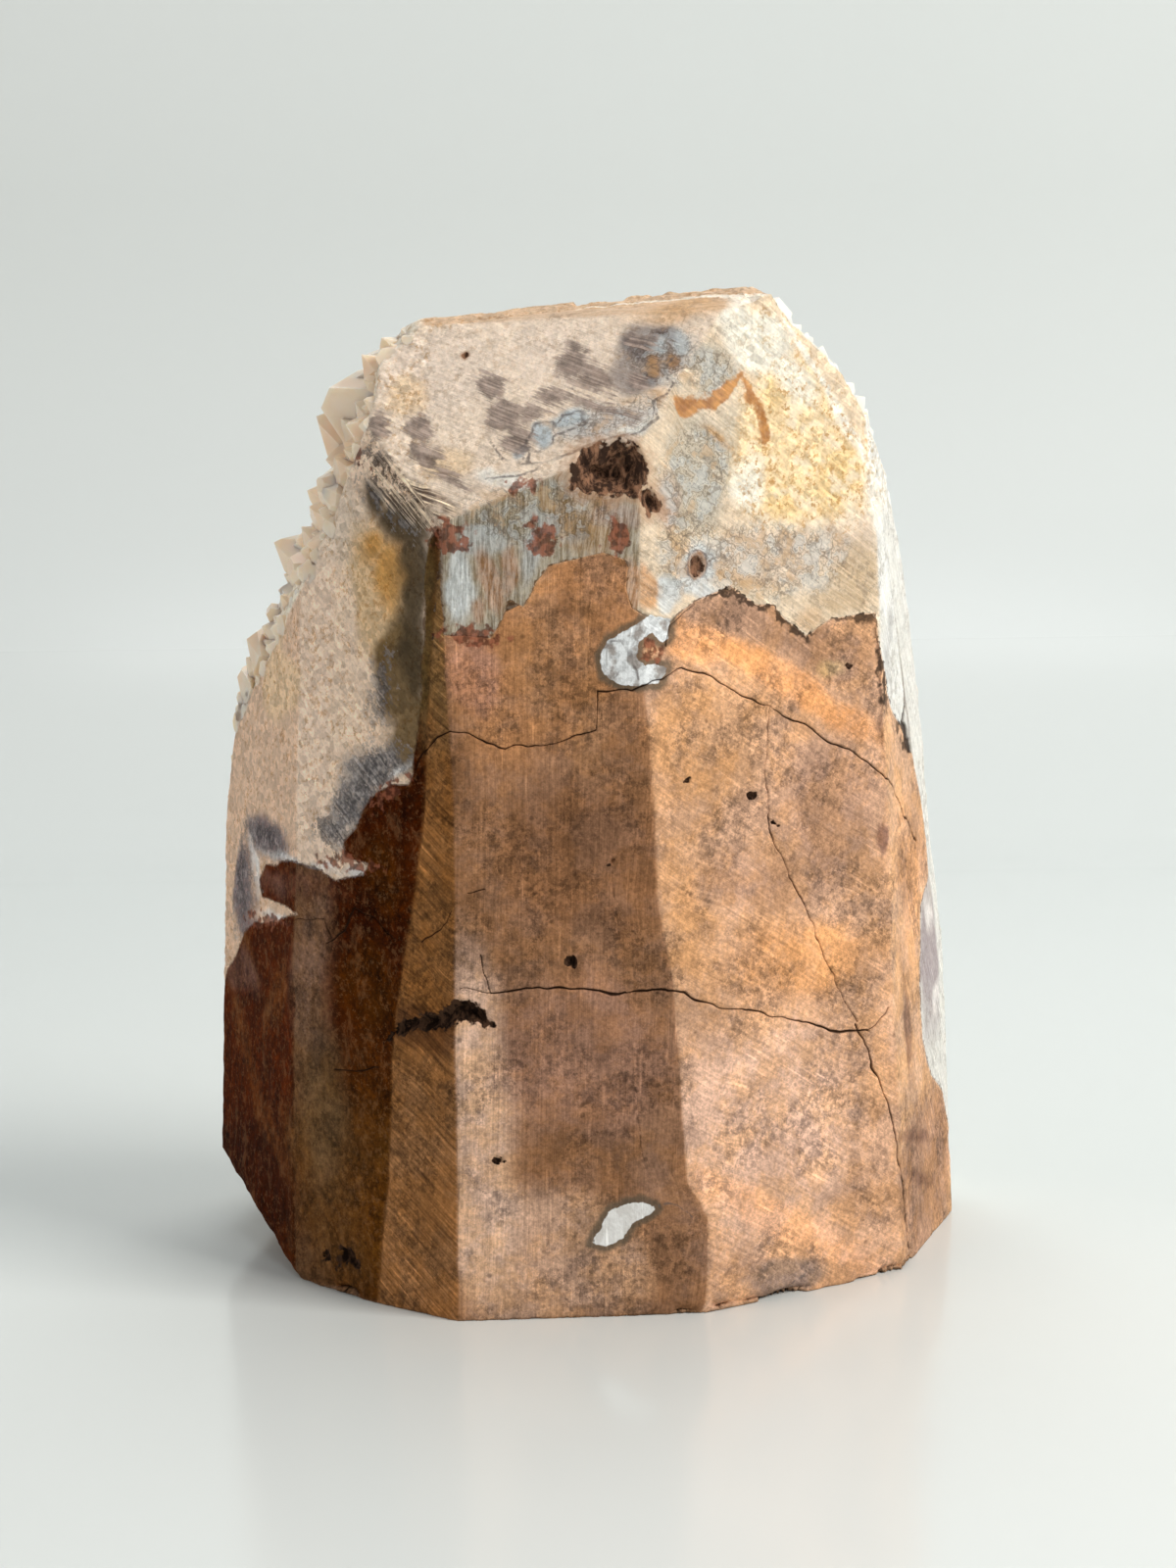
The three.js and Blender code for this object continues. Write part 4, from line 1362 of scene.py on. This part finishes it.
def rock_look(s, place, hue, fine, scratch):
    """Colour of the ground host rock: mottled, clouded with specks and streaked."""
    broad = s.noise(place, 7, detail=5, rough=0.65)
    colour = s.shade(hue, s.fade(broad, 0.3, 0.7, 0.8, 1.24))
    grit = s.noise(place, 0.5, detail=3, rough=0.75)
    colour = s.shade(colour, s.fade(grit, 0.3, 0.7, 0.74, 1.26))
    veer = s.fade(s.noise(place, 5, detail=5, rough=0.7), 0.4, 0.6)
    colour = s.tinted(colour, s.mix(veer, (1.0, 1.02, 1.1), (1.04, 0.98, 0.88)))
    crowd = s.fade(s.noise(place, 8, detail=4, rough=0.65), 0.4, 0.58)
    for size, low, high, depth in ((2.2, 0.47, 0.57, 0.5), (0.9, 0.49, 0.56, 0.7)):
        flecks = s.fade(s.noise(place, size, detail=5, rough=0.8), low, high)
        dark = s.times(s.times(flecks, crowd), depth)
        colour = s.mix(dark, colour, s.tinted(s.shade(colour, 0.42), (1.0, 1.02, 1.08)))
    coarse = s.noise(place, 1.4, detail=5, rough=0.8)
    colour = s.shade(colour, contrast(s, s.field("cool"), coarse, 1.3))
    colour = flamed(s, place, colour)
    dots = s.fade(s.cells(place, 2.1), 0.08, 0.18, 1, 0)
    dots = s.times(dots, s.fade(s.noise(place, 3, detail=1), 0.5, 0.56))
    colour = s.mix(s.times(dots, 0.55), colour, s.shade(colour, 0.3))
    return s.shade(colour, contrast(s, scratch, fine, 0.5))


def flamed(s, place, colour):
    """The dark facets at the left have light and dim flames and light specks."""
    flames = s.moved(place, s.noise(place, 5, detail=2, output="Color"), 4)
    flames = s.noise(s.scaled(flames, (1.0, 1.0, 0.45)), 2.4, detail=5, rough=0.75)
    specks = s.noise(place, 0.8, detail=4, rough=0.8)
    lit = s.mix(0.6, s.shade(colour, 1.9), (0.2, 0.1, 0.045))
    dim = s.tinted(s.shade(colour, 0.42), (1.0, 0.85, 0.6))
    for value, low, high, look in (
        (flames, 0.53, 0.64, lit),
        (flames, 0.47, 0.36, dim),
        (specks, 0.54, 0.6, lit),
    ):
        amount = s.times(s.fade(value, low, high), s.times(s.field("cool"), 0.6))
        colour = s.mix(amount, colour, look)
    return colour


def quartz_look(s, place, hue, fine, scratch):
    """Colour of the ground quartz crust: sugary grains, smoky spots, agate loops and stains."""
    soft = s.noise(place, 2.2, detail=4, rough=0.65)
    colour = s.shade(hue, s.fade(soft, 0.25, 0.75, 0.93, 1.06))
    grit = s.noise(place, 0.38, detail=2, rough=0.7)
    colour = s.shade(colour, s.fade(grit, 0.25, 0.75, 0.88, 1.12))
    colour = sugared(s, place, colour, soft)
    colour = honeyed(s, place, colour)
    colour = agate_look(s, place, colour)
    colour = smoked(s, place, colour, fine, soft)
    stain = s.plus(s.field("stain"), s.fade(soft, 0.3, 0.7, -0.4, 0.4))
    rusty = s.fade(s.noise(place, 1.2, detail=4), 0.35, 0.65)
    rust = s.mix(rusty, (0.58, 0.26, 0.07), (0.36, 0.14, 0.04))
    colour = s.mix(s.times(s.fade(stain, -0.2, 0.3), 0.85), colour, rust)
    return s.shade(colour, contrast(s, scratch, fine, 0.42))


def sugared(s, place, colour, soft):
    """Grains and warm pits where the crust is sugary, blots and ground streaks elsewhere."""
    sugar = s.field("sugar")
    tone = s.node("SeparateColor")
    s.plug(tone.inputs[0], s.cells(place, 0.8, output="Color"))
    colour = s.shade(colour, contrast(s, sugar, tone.outputs[0], 0.2))
    plain = s.math("SUBTRACT", 1.0, sugar, clamp=True)
    blots = s.fade(s.noise(place, 1.3, detail=5, rough=0.8), 0.49, 0.58)
    blots = s.times(blots, s.fade(s.noise(place, 5, detail=3), 0.4, 0.58))
    blots = s.times(blots, plain)
    blot = s.mix(0.5, s.shade(colour, 0.4), (0.24, 0.17, 0.12))
    colour = s.mix(s.times(blots, 0.5), colour, blot)
    streaks = s.scaled(s.field("grind", "Vector"), (0.35, 2.2, 1.0))
    streaks = s.fade(s.noise(streaks, 1.0, detail=5, rough=0.75), 0.4, 0.6)
    light = s.mix(0.35, s.shade(colour, 1.25), (0.62, 0.65, 0.65))
    streaked = s.mix(streaks, s.shade(colour, 0.62), light)
    colour = s.mix(s.times(plain, s.field("streak")), colour, streaked)
    pits = s.fade(s.noise(place, 0.65, detail=4, rough=0.75), 0.5, 0.6)
    pits = s.times(s.times(pits, s.fade(soft, 0.35, 0.6)), sugar)
    warm = s.tinted(s.shade(colour, 0.7), (1.0, 0.82, 0.6))
    return s.mix(s.times(pits, 0.88), colour, warm)


def honeyed(s, place, colour):
    """White clusters and brown specks in the honey-stained field."""
    honey = s.field("honey")
    white = s.times(s.fade(s.noise(place, 2.0, detail=4), 0.48, 0.64), honey)
    colour = s.mix(s.times(white, 0.55), colour, (0.96, 0.85, 0.68))
    specks = s.fade(s.noise(place, 0.75, detail=3, rough=0.75), 0.55, 0.62)
    specks = s.times(specks, s.fade(s.noise(place, 3, detail=2), 0.36, 0.52))
    return s.mix(s.times(s.times(specks, honey), 0.8), colour, (0.5, 0.27, 0.09))


def agate_look(s, place, colour):
    """Milky blue and tan patches with fine dark outlines, and a web of fine dark lines."""
    agate = s.field("agate")
    wave = s.noise(place, 2.3, detail=3, rough=0.6)
    for low, high, tint in ((0.5, 0.56, (0.56, 0.6, 0.61)), (0.44, 0.38, (0.5, 0.3, 0.14))):
        patch = s.times(s.fade(wave, low, high), agate)
        colour = s.mix(s.times(patch, 0.8), colour, s.mix(0.5, colour, tint))
    for level, width in ((0.5, 0.022), (0.43, 0.014), (0.57, 0.016)):
        away = s.math("ABSOLUTE", s.math("SUBTRACT", wave, level))
        loop = s.times(s.fade(away, width * 0.2, width, 1, 0), agate)
        colour = s.mix(s.times(loop, 0.6), colour, s.shade(colour, 0.4))
    warped = s.moved(place, s.noise(place, 1.6, detail=3, output="Color"), 2.4)
    web = s.fade(s.cells(warped, 1.9, feature="DISTANCE_TO_EDGE"), 0.02, 0.075, 1, 0)
    web = s.times(web, s.fade(s.noise(place, 4, detail=2), 0.42, 0.55))
    thread = s.mix(0.6, s.shade(colour, 0.4), (0.22, 0.17, 0.13))
    return s.mix(s.times(s.times(web, agate), 0.6), colour, thread)


def smoked(s, place, colour, fine, soft):
    """Smoky spots, ragged and hatched at the left, torn into streaks by the grinding."""
    cool = s.field("cool")
    edge = s.plus(s.field("smoke"), s.fade(fine, 0.3, 0.7, -0.5, 0.5))
    edge = s.plus(edge, s.fade(soft, 0.3, 0.7, -0.4, 0.4))
    ragged = s.noise(place, 1.1, detail=4, rough=0.75)
    edge = s.plus(edge, s.times(cool, s.fade(ragged, 0.35, 0.65, -0.7, 1.1)))
    smoky = s.mix(s.fade(fine, 0.35, 0.65), (0.15, 0.11, 0.095), (0.36, 0.28, 0.24))
    hatch = s.fade(s.plus(s.times(fine, 0.5), ragged), 0.66, 0.9)
    pale = s.mix(0.5, colour, (0.3, 0.29, 0.3))
    smoky = s.mix(cool, smoky, s.mix(hatch, (0.06, 0.057, 0.063), pale))
    torn = s.mix(s.fade(fine, 0.45, 0.6), (0.07, 0.045, 0.035), (0.62, 0.5, 0.37))
    smoky = s.mix(s.field("torn"), smoky, torn)
    cloud = s.noise(place, 1.3, detail=4, rough=0.7)
    smoky = s.shade(smoky, s.fade(cloud, 0.3, 0.7, 0.6, 1.5))
    return s.mix(s.times(s.fade(edge, -0.35, 0.45), 0.88), colour, smoky)


def inlaid(s, place, colour, fringe):
    """Chalcedony inlays in the rock, with their dark reaction rims, and whiter low down."""
    inlay = s.plus(s.field("inlay"), s.times(fringe, 0.35))
    rim = s.times(s.fade(inlay, -1.0, -0.35), s.fade(s.field("quartz"), 0.5, 0, 0, 1))
    colour = s.mix(s.times(rim, 0.8), colour, (0.105, 0.085, 0.06))
    milk = s.fade(s.noise(place, 1.8, detail=3), 0.4, 0.54)
    body = s.mix(milk, (0.34, 0.31, 0.29), (0.74, 0.76, 0.77))
    grain = s.noise(place, 0.8, detail=4, rough=0.75)
    body = s.shade(body, s.fade(grain, 0.35, 0.6, 0.72, 1.08))
    _, _, height = s.separated(place)
    body = s.mix(s.fade(height, 30, 20, 0, 0.7), body, (0.84, 0.83, 0.8))
    return s.mix(s.fade(inlay, -0.06, 0.06), colour, body)


def earthy(s, place, colour):
    """Red-brown earthy patches."""
    red = s.plus(s.field("red"), s.fade(s.noise(place, 1.1, detail=3), 0.3, 0.7, -0.7, 0.7))
    grain = s.fade(s.noise(place, 0.7, detail=2), 0.4, 0.6)
    earth = s.mix(grain, (0.1, 0.032, 0.018), (0.3, 0.1, 0.055))
    return s.mix(s.times(s.fade(red, -0.2, 0.35), 0.85), colour, earth)


def hollowed(s, place, colour, vug, in_quartz):
    """Thin dark outlines, and the vugs and cracks with their insides painted dark as shade, with
    lighter red-brown glints painted in the vugs.
    """
    broken = s.fade(s.noise(place, 2.5, detail=2), 0.3, 0.5)
    line = s.times(s.fade(s.field("line"), 0.05, 0.22, 1, 0), broken)
    colour = s.mix(s.times(line, 0.75), colour, (0.12, 0.1, 0.095))
    # painted shade in the vugs and pits, darker still in the quartz, with lighter red-brown
    # painted glints
    upright = s.scaled(place, (1.4, 1.4, 0.5))
    lit = s.fade(s.noise(upright, 1.1, detail=4, rough=0.7), 0.42, 0.62)
    hollow = s.mix(lit, (0.045, 0.024, 0.016), (0.28, 0.145, 0.085))
    hollow = s.mix(in_quartz, s.shade(hollow, 0.25), hollow)
    halo = s.times(s.fade(vug, -1.3, -0.1), in_quartz)
    colour = s.mix(s.times(halo, 0.55), colour, (0.45, 0.26, 0.15))
    colour = s.mix(s.fade(vug, -0.1, 0.15), colour, hollow)
    # painted shade in the cracks
    crack = s.fade(s.field("crack"), -0.03, 0.07, 1, 0)
    return s.mix(s.times(crack, 0.92), colour, (0.04, 0.02, 0.012))


def stone_material(name, subsurface):
    """The ground stone of one piece, with a thin uneven fringe of the other stone beside the
    contact. subsurface is above 0 for the quartz crust only."""
    s = Shader(name)
    place = s.millimetres()
    hue = s.field("hue", "Vector")
    scratch = s.field("scratch")
    fine, bright = grind_marks(s, place, s.field("grind", "Vector"), scratch)
    if subsurface:
        quartz = quartz_look(s, place, hue, fine, scratch)
        rock = s.mix(0.5, s.shade(hue, 0.6), (0.14, 0.065, 0.03))
    else:
        rock = rock_look(s, place, hue, fine, scratch)
        quartz = s.shade(hue, 1.15)
    fringe = s.fade(s.noise(place, 0.7, detail=2), 0.25, 0.75, -0.25, 0.25)
    contact = s.plus(s.field("quartz"), fringe)
    in_quartz = s.fade(contact, -0.06, 0.06)
    # the rock's edge is black in places
    burnt = s.plus(contact, s.fade(s.noise(place, 1.3, detail=2), 0.3, 0.7, -0.6, 0.6))
    burnt = s.times(s.fade(burnt, -0.95, -0.35), s.field("rim"))
    rock = s.mix(s.times(burnt, 0.85), rock, (0.03, 0.02, 0.015))
    colour = inlaid(s, place, s.mix(in_quartz, rock, quartz), fringe)
    colour = earthy(s, place, colour)
    bright = s.times(bright, s.fade(s.field("cool"), 0, 1, 0.5, 0.1))
    colour = s.mix(bright, colour, s.shade(colour, 1.9))
    vug = s.plus(s.field("vug"), s.fade(s.noise(place, 0.9, detail=2), 0.3, 0.7, -0.3, 0.3))
    colour = hollowed(s, place, colour, vug, in_quartz)
    # ground stone is satin, its hollows dull
    satin, dull = s.fade(fine, 0.25, 0.75, 0.55, 0.75), s.fade(vug, -0.1, 0.3, 0, 0.9)
    normal = s.bump(s.noise(place, 0.35, detail=2), 0.05)
    normal = s.bump(fine, 0.06, normal)
    pearly = s.cells(place, 0.6, feature="SMOOTH_F1")
    pearly = s.times(pearly, s.times(s.field("sugar"), in_quartz))
    normal = s.bump(pearly, -0.16, normal)
    settings = {}
    if subsurface:
        settings = dict(
            Subsurface_Weight=subsurface,
            Subsurface_Scale=CRUST_GLOW_DEPTH * MM,
            Subsurface_Radius=GLOW_COLOUR,
        )
    s.finish(
        Base_Color=colour,
        Roughness=s.math("MAXIMUM", satin, dull),
        Normal=normal,
        IOR=1.4,
        Specular_IOR_Level=0.1 if subsurface else 0.03,
        **settings,
    )
    return s.material


def citrine_material(name, depth):
    """Citrine points, cream at the ground rim and honey-coloured behind, that carry the light
    some depth, in millimetres, inside them."""
    s = Shader(name)
    place = s.millimetres()
    cloud = s.fade(s.noise(place, 4, detail=3), 0.35, 0.65)
    x, y, z = s.separated(place)
    back = s.plus(y, s.fade(s.noise(place, 15, detail=2), 0.3, 0.7, -8, 8))
    back = s.plus(back, s.times(z, 0.17))
    cream = s.mix(cloud, (0.9, 0.66, 0.48), (0.94, 0.77, 0.62))
    cream = s.mix(s.fade(x, 4, 18), cream, (0.95, 0.88, 0.78))
    honey = s.mix(cloud, (0.92, 0.6, 0.22), (0.95, 0.74, 0.4))
    s.finish(
        Base_Color=s.mix(s.fade(back, 14, 34), cream, honey),
        Roughness=0.2,
        IOR=1.54,
        Subsurface_Weight=0.6,
        Subsurface_Scale=depth * MM,
        Subsurface_Radius=GLOW_COLOUR,
    )
    return s.material


# ---- Citrine points ---------------------------------------------------------------

PYRAMID_LEAN = 38.2  # of the tip's faces from the axis's square, in degrees
UNEVEN_TURN = 0.03  # of the sides, in radians
# The rest of a crystal's shape is in shares of its radius.
PRISM_REACH = (0.78, 1.05)  # from the axis to its sides
UNEVEN_TIP, EVERY_OTHER_TIP, TIP_DROP = 0.28, 0.16, 0.62  # how the tip's faces differ
ROOT = 1.2  # how deep its flat root is
LEAST_SLENDER, MORE_SLENDER = 1.3, 1.3  # its height
LEANING = 0.24  # of its axis from the facet's direction
ROOT_SHARE, ROOT_DEPTH, SWELL_SHARE = 0.35, 0.6, 0.6  # how far it is sunk into the crust

CROWDED = 0.62  # points stand no nearer than this share of their radii together
TRIES_PER_AREA, LEAST_TRIES = 1.6, 40
# Radii in millimetres, at a rim and what the middle of the back has more.
LEAST_RADIUS, MOST_RADIUS, MOSTLY_SMALL = (0.6, 0.8), (1.6, 3.4), 2.2
INNER_FROM, INNER_UNEVEN = 24, 9  # how far from a rim the middle begins
LEFT_COARSER, LEFT_WIDTH = 0.3, 20
RIM_RADIUS, RIM_GROWTH = 1.2, 0.3  # the largest radius at a rim, and how it grows away from it
BARE_TOP_FROM, BARE_TOP_WIDTH = -12, 4  # no points stand right of it, so near to the top facet
# Points this near to the right facet are worn: no wider than this, and this much lower.
WORN_RIM_WIDTH, WORN_RADIUS, WORN_HEIGHT = 7, 1.25, 0.72
SUNK, SUNK_FAR = 0.2, 0.8  # how far below a ground facet a point is cut off, in millimetres
RIM_WIDTH, LARGE_RADIUS = 9, 2.2  # what counts as a rim point and as a large one


def crystal_planes(random, radius, height):
    """A six-sided point: unequal prism sides and tip faces, standing on its root."""
    normals, distances = [], []
    twist = random.uniform(0, math.pi / 3)
    slant = math.radians(PYRAMID_LEAN)
    for k in range(6):
        turn = twist + k * math.pi / 3 + random.uniform(-UNEVEN_TURN, UNEVEN_TURN)
        side = np.array([math.cos(turn), math.sin(turn), 0.0])
        reach = radius * random.uniform(*PRISM_REACH)
        normals.append(side)
        distances.append(reach)
        tip = side * math.cos(slant) + np.array([0, 0, math.sin(slant)])
        drop = random.uniform(0, UNEVEN_TIP) + (EVERY_OTHER_TIP if k % 2 else 0.0)
        normals.append(tip)
        distances.append(height * math.sin(slant) - drop * radius * TIP_DROP)
    normals.append(np.array([0.0, 0.0, -1.0]))
    distances.append(radius * ROOT)
    return np.array(normals), np.array(distances)


def turned_to(axis, random):
    """A rotation that stands a crystal along an axis."""
    axis = axis / np.linalg.norm(axis)
    side = np.cross(axis, random.normal(size=3))
    side /= np.linalg.norm(side)
    return np.stack([side, np.cross(axis, side), axis], axis=1)


def scattered(polygon, count, random):
    """Random points all over a convex polygon."""
    fans = [(polygon[0], polygon[k], polygon[k + 1]) for k in range(1, len(polygon) - 1)]
    area = np.array([np.linalg.norm(np.cross(b - a, c - a)) for a, b, c in fans])
    chosen = random.choice(len(fans), size=count, p=area / area.sum())
    u, v = random.uniform(size=(2, count))
    over = u + v > 1
    u, v = np.where(over, 1 - u, u), np.where(over, 1 - v, v)
    corners = np.array(fans)[chosen]
    a, b, c = corners[:, 0], corners[:, 1], corners[:, 2]
    return a + (b - a) * u[:, None] + (c - a) * v[:, None]


def point_sizes(points, random):
    """Radii in millimetres: fine at the rims, coarser towards the middle of the back."""
    edge = np.min([DISTANCES[k] - points @ NORMALS[k] for k in np.flatnonzero(IS_GROUND)], axis=0)
    edge = edge + INNER_UNEVEN * noise(points, size=16, seed=73, octaves=2)
    inner = smooth(edge / INNER_FROM)
    least, most = (at_rim + more * inner for at_rim, more in (LEAST_RADIUS, MOST_RADIUS))
    coarse = 1 + LEFT_COARSER * smooth(-points[:, 0] / LEFT_WIDTH) * (1 - inner)
    chance = random.uniform(size=len(points)) ** MOSTLY_SMALL
    return coarse * (least + (most - least) * chance)


def druse_sites():
    """Where the citrine points stand: (place, facet direction, radius) for each."""
    random = np.random.default_rng(seed=77)
    places, facing, radii = [], [], []
    for number, polygon in BLOCK_FACES:
        if NAMES[number] not in NATURAL:
            continue
        level, next_level = polygon[1:-1] - polygon[0], polygon[2:] - polygon[0]
        area = sum(np.linalg.norm(np.cross(a, b)) / 2 for a, b in zip(level, next_level))
        tries = scattered(polygon, int(area * TRIES_PER_AREA) + LEAST_TRIES, random)
        sizes = point_sizes(tries, random)
        order = np.argsort(-sizes)
        places.append(tries[order])
        radii.append(sizes[order])
        facing.append(np.repeat(NORMALS[[number]], len(tries), axis=0))
    places, facing, radii = np.vstack(places), np.vstack(facing), np.concatenate(radii)
    kept, taken, taken_radii = [], places[:0], radii[:0]
    for k in np.argsort(-radii, kind="stable"):
        apart = np.linalg.norm(taken - places[k], axis=1)
        if (apart < CROWDED * (taken_radii + radii[k])).any():
            continue
        kept.append(k)
        taken, taken_radii = places[kept], radii[kept]
    return places[kept], facing[kept], radii[kept]


def crystal(random, site, normal, radius, bulge):
    """A citrine point's faces and its group, or None where none grows or none is left."""
    top, side = NUMBER["top"], NUMBER["right"]
    ground = np.flatnonzero(IS_GROUND)
    behind = DISTANCES - NORMALS @ site
    if site[0] > BARE_TOP_FROM and behind[top] < BARE_TOP_WIDTH:
        return None
    radius = min(radius, RIM_RADIUS + RIM_GROWTH * max(0, behind[ground].min()))
    worn = site[0] > 0 and behind[side] < WORN_RIM_WIDTH
    if worn:
        radius = min(radius, WORN_RADIUS)
    lean = random.normal(size=3) * LEANING
    spin = turned_to(normal + lean - normal * (lean @ normal), random)
    slender = LEAST_SLENDER + MORE_SLENDER * random.uniform() ** 2
    height = radius * slender * (WORN_HEIGHT if worn else 1)
    normals, distances = crystal_planes(random, radius, height)
    swell = DRUSE_SWELL * max(0, bulge) * SWELL_SHARE
    root = site - normal * (ROOT_SHARE * radius + ROOT_DEPTH + swell)
    normals = normals @ spin.T
    distances = distances + normals @ root
    reach = DISTANCES[ground] - NORMALS[ground] @ root
    close = ground[reach < 2.6 * radius + 1]
    if len(close):
        normals = np.vstack([normals, NORMALS[close]])
        sunk = np.where((close == top) | (close == side), SUNK_FAR, SUNK)
        distances = np.concatenate([distances, DISTANCES[close] - sunk])
    faces = faces_of(normals, distances, root)
    if len(faces) < 4:
        return None
    edge = reach.min()
    return faces, "rim" if edge < RIM_WIDTH else "large" if radius > LARGE_RADIUS else "back"


def build_points():
    """The citrine points as a few joined pieces, cut off flat where the facets were ground."""
    random = np.random.default_rng(seed=5)
    sites, facing, radii = druse_sites()
    groups = {"rim": [], "back": [], "large": []}
    swell = noise(sites, size=13, seed=61, octaves=2)
    for site, normal, radius, bulge in zip(sites, facing, radii, swell):
        made = crystal(random, site, normal, radius, bulge)
        if made:
            faces, group = made
            groups[group].append(fanned([polygon for _, polygon in faces], CRYSTAL_MERGE)[:2])
    pieces = []
    for group, solids in groups.items():
        starts = np.cumsum([0] + [len(points) for points, _ in solids[:-1]])
        points = np.vstack([points for points, _ in solids])
        triangles = np.vstack([t + start for (_, t), start in zip(solids, starts)])
        pieces.append(to_object("citrine_points_" + group, points, triangles, flat=True))
    return pieces


# ---- The scene ----------------------------------------------------------------------

def stage_material():
    """Pale and satin, with a soft gleam on the floor in front."""
    s = Shader("stage_pale")
    place = s.millimetres()
    haze = s.noise(place, 240, detail=1)
    _, _, height = s.separated(place)
    s.finish(
        Base_Color=s.mix(haze, (0.68, 0.72, 0.71), (0.73, 0.76, 0.75)),
        Roughness=s.fade(height, 10, 120, 0.16, 0.7),
        Specular_IOR_Level=0.5,
    )
    return s.material


def build_stage():
    """A pale floor that curves up into a pale wall behind the piece, in metres."""
    half_width, front, back, bend, top, steps = 1.6, -1.2, 0.42, 0.16, 1.4, 16
    profile = [(front, 0.0), (back - bend, 0.0)]
    for k in range(1, steps + 1):
        turn = math.pi / 2 * k / steps
        profile.append((back - bend + bend * math.sin(turn), bend - bend * math.cos(turn)))
    profile.append((back, top))
    points = [(x, y, z) for y, z in profile for x in (-half_width, half_width)]
    faces = [(2 * k, 2 * k + 1, 2 * k + 3, 2 * k + 2) for k in range(len(profile) - 1)]
    mesh = bpy.data.meshes.new("stage_floor")
    mesh.from_pydata(points, [], faces)
    mesh.polygons.foreach_set("use_smooth", [True] * len(faces))
    floor = bpy.data.objects.new("stage_floor", mesh)
    bpy.context.scene.collection.objects.link(floor)
    mesh.materials.append(stage_material())


def area_light(name, azimuth, elevation, distance, size, power, colour):
    """A square soft light that looks at the piece. Azimuth 0 is in front, 90 at the right."""
    lamp = bpy.data.lights.new(name, "AREA")
    lamp.shape = "SQUARE"
    lamp.size = size
    lamp.energy = power
    lamp.color = colour
    obj = bpy.data.objects.new(name, lamp)
    aim = Vector(direction(azimuth, elevation))
    middle = Vector((0, 0, HEIGHT * MM / 2))
    obj.location = middle + aim * distance
    obj.rotation_mode = "QUATERNION"
    obj.rotation_quaternion = aim.to_track_quat("Z", "Y")
    bpy.context.scene.collection.objects.link(obj)


def build_lights():
    """Soft studio light: a key from the right, a weak fill, one behind and above, and a sky."""
    for name, azimuth, elevation, distance, size, power, colour in (
        ("key", 60, 36, 0.75, 0.3, 5.35, (1.0, 0.97, 0.92)),
        ("fill", -70, 20, 0.9, 0.7, 2.2, (1.0, 0.93, 0.86)),
        ("above", 175, 66, 0.8, 0.6, 3, (0.95, 0.98, 1.0)),
    ):
        area_light(name, azimuth, elevation, distance, size, power, colour)
    world = bpy.data.worlds.new("studio")
    world.use_nodes = True
    sky = world.node_tree.nodes["Background"]
    sky.inputs["Color"].default_value = (0.93, 0.97, 1.0, 1.0)
    sky.inputs["Strength"].default_value = 0.22
    bpy.context.scene.world = world


CAMERA_PLACE = (0.0006, -2.722 * HEIGHT * MM, 0.8454 * HEIGHT * MM)  # in metres
CAMERA_DOWN, CAMERA_ROLL = 7.44, -0.8  # in degrees


def build_camera():
    """Close in front, a little above the piece and looking slightly down."""
    data = bpy.data.cameras.new("view")
    data.lens = 60
    data.sensor_width = 36
    camera = bpy.data.objects.new("view", data)
    camera.location = CAMERA_PLACE
    camera.rotation_euler = (math.pi / 2 - math.radians(CAMERA_DOWN), 0, 0)
    camera.rotation_euler.rotate_axis("Z", math.radians(CAMERA_ROLL))
    bpy.context.scene.collection.objects.link(camera)
    bpy.context.scene.camera = camera


def main():
    """Builds every piece, dresses it and sets it on the frame."""
    rock, crust = build_stone()
    rock.data.materials.append(stone_material("host_rock_stone", subsurface=0))
    crust.data.materials.append(stone_material("quartz_stone", subsurface=0.2))
    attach(rock, "root")
    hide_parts("host_rock")
    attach(crust, "root")
    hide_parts("crystal_crust")
    small = citrine_material("citrine_small", depth=2)
    large = citrine_material("citrine_large", depth=4)
    for piece in build_points():
        piece.data.materials.append(large if "large" in piece.name else small)
        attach(piece, "root")
        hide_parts("crystal_crust")
    build_stage()
    build_lights()
    build_camera()
    scene = bpy.context.scene
    scene.view_settings.view_transform = "Standard"
    scene.view_settings.look = "None"


main()
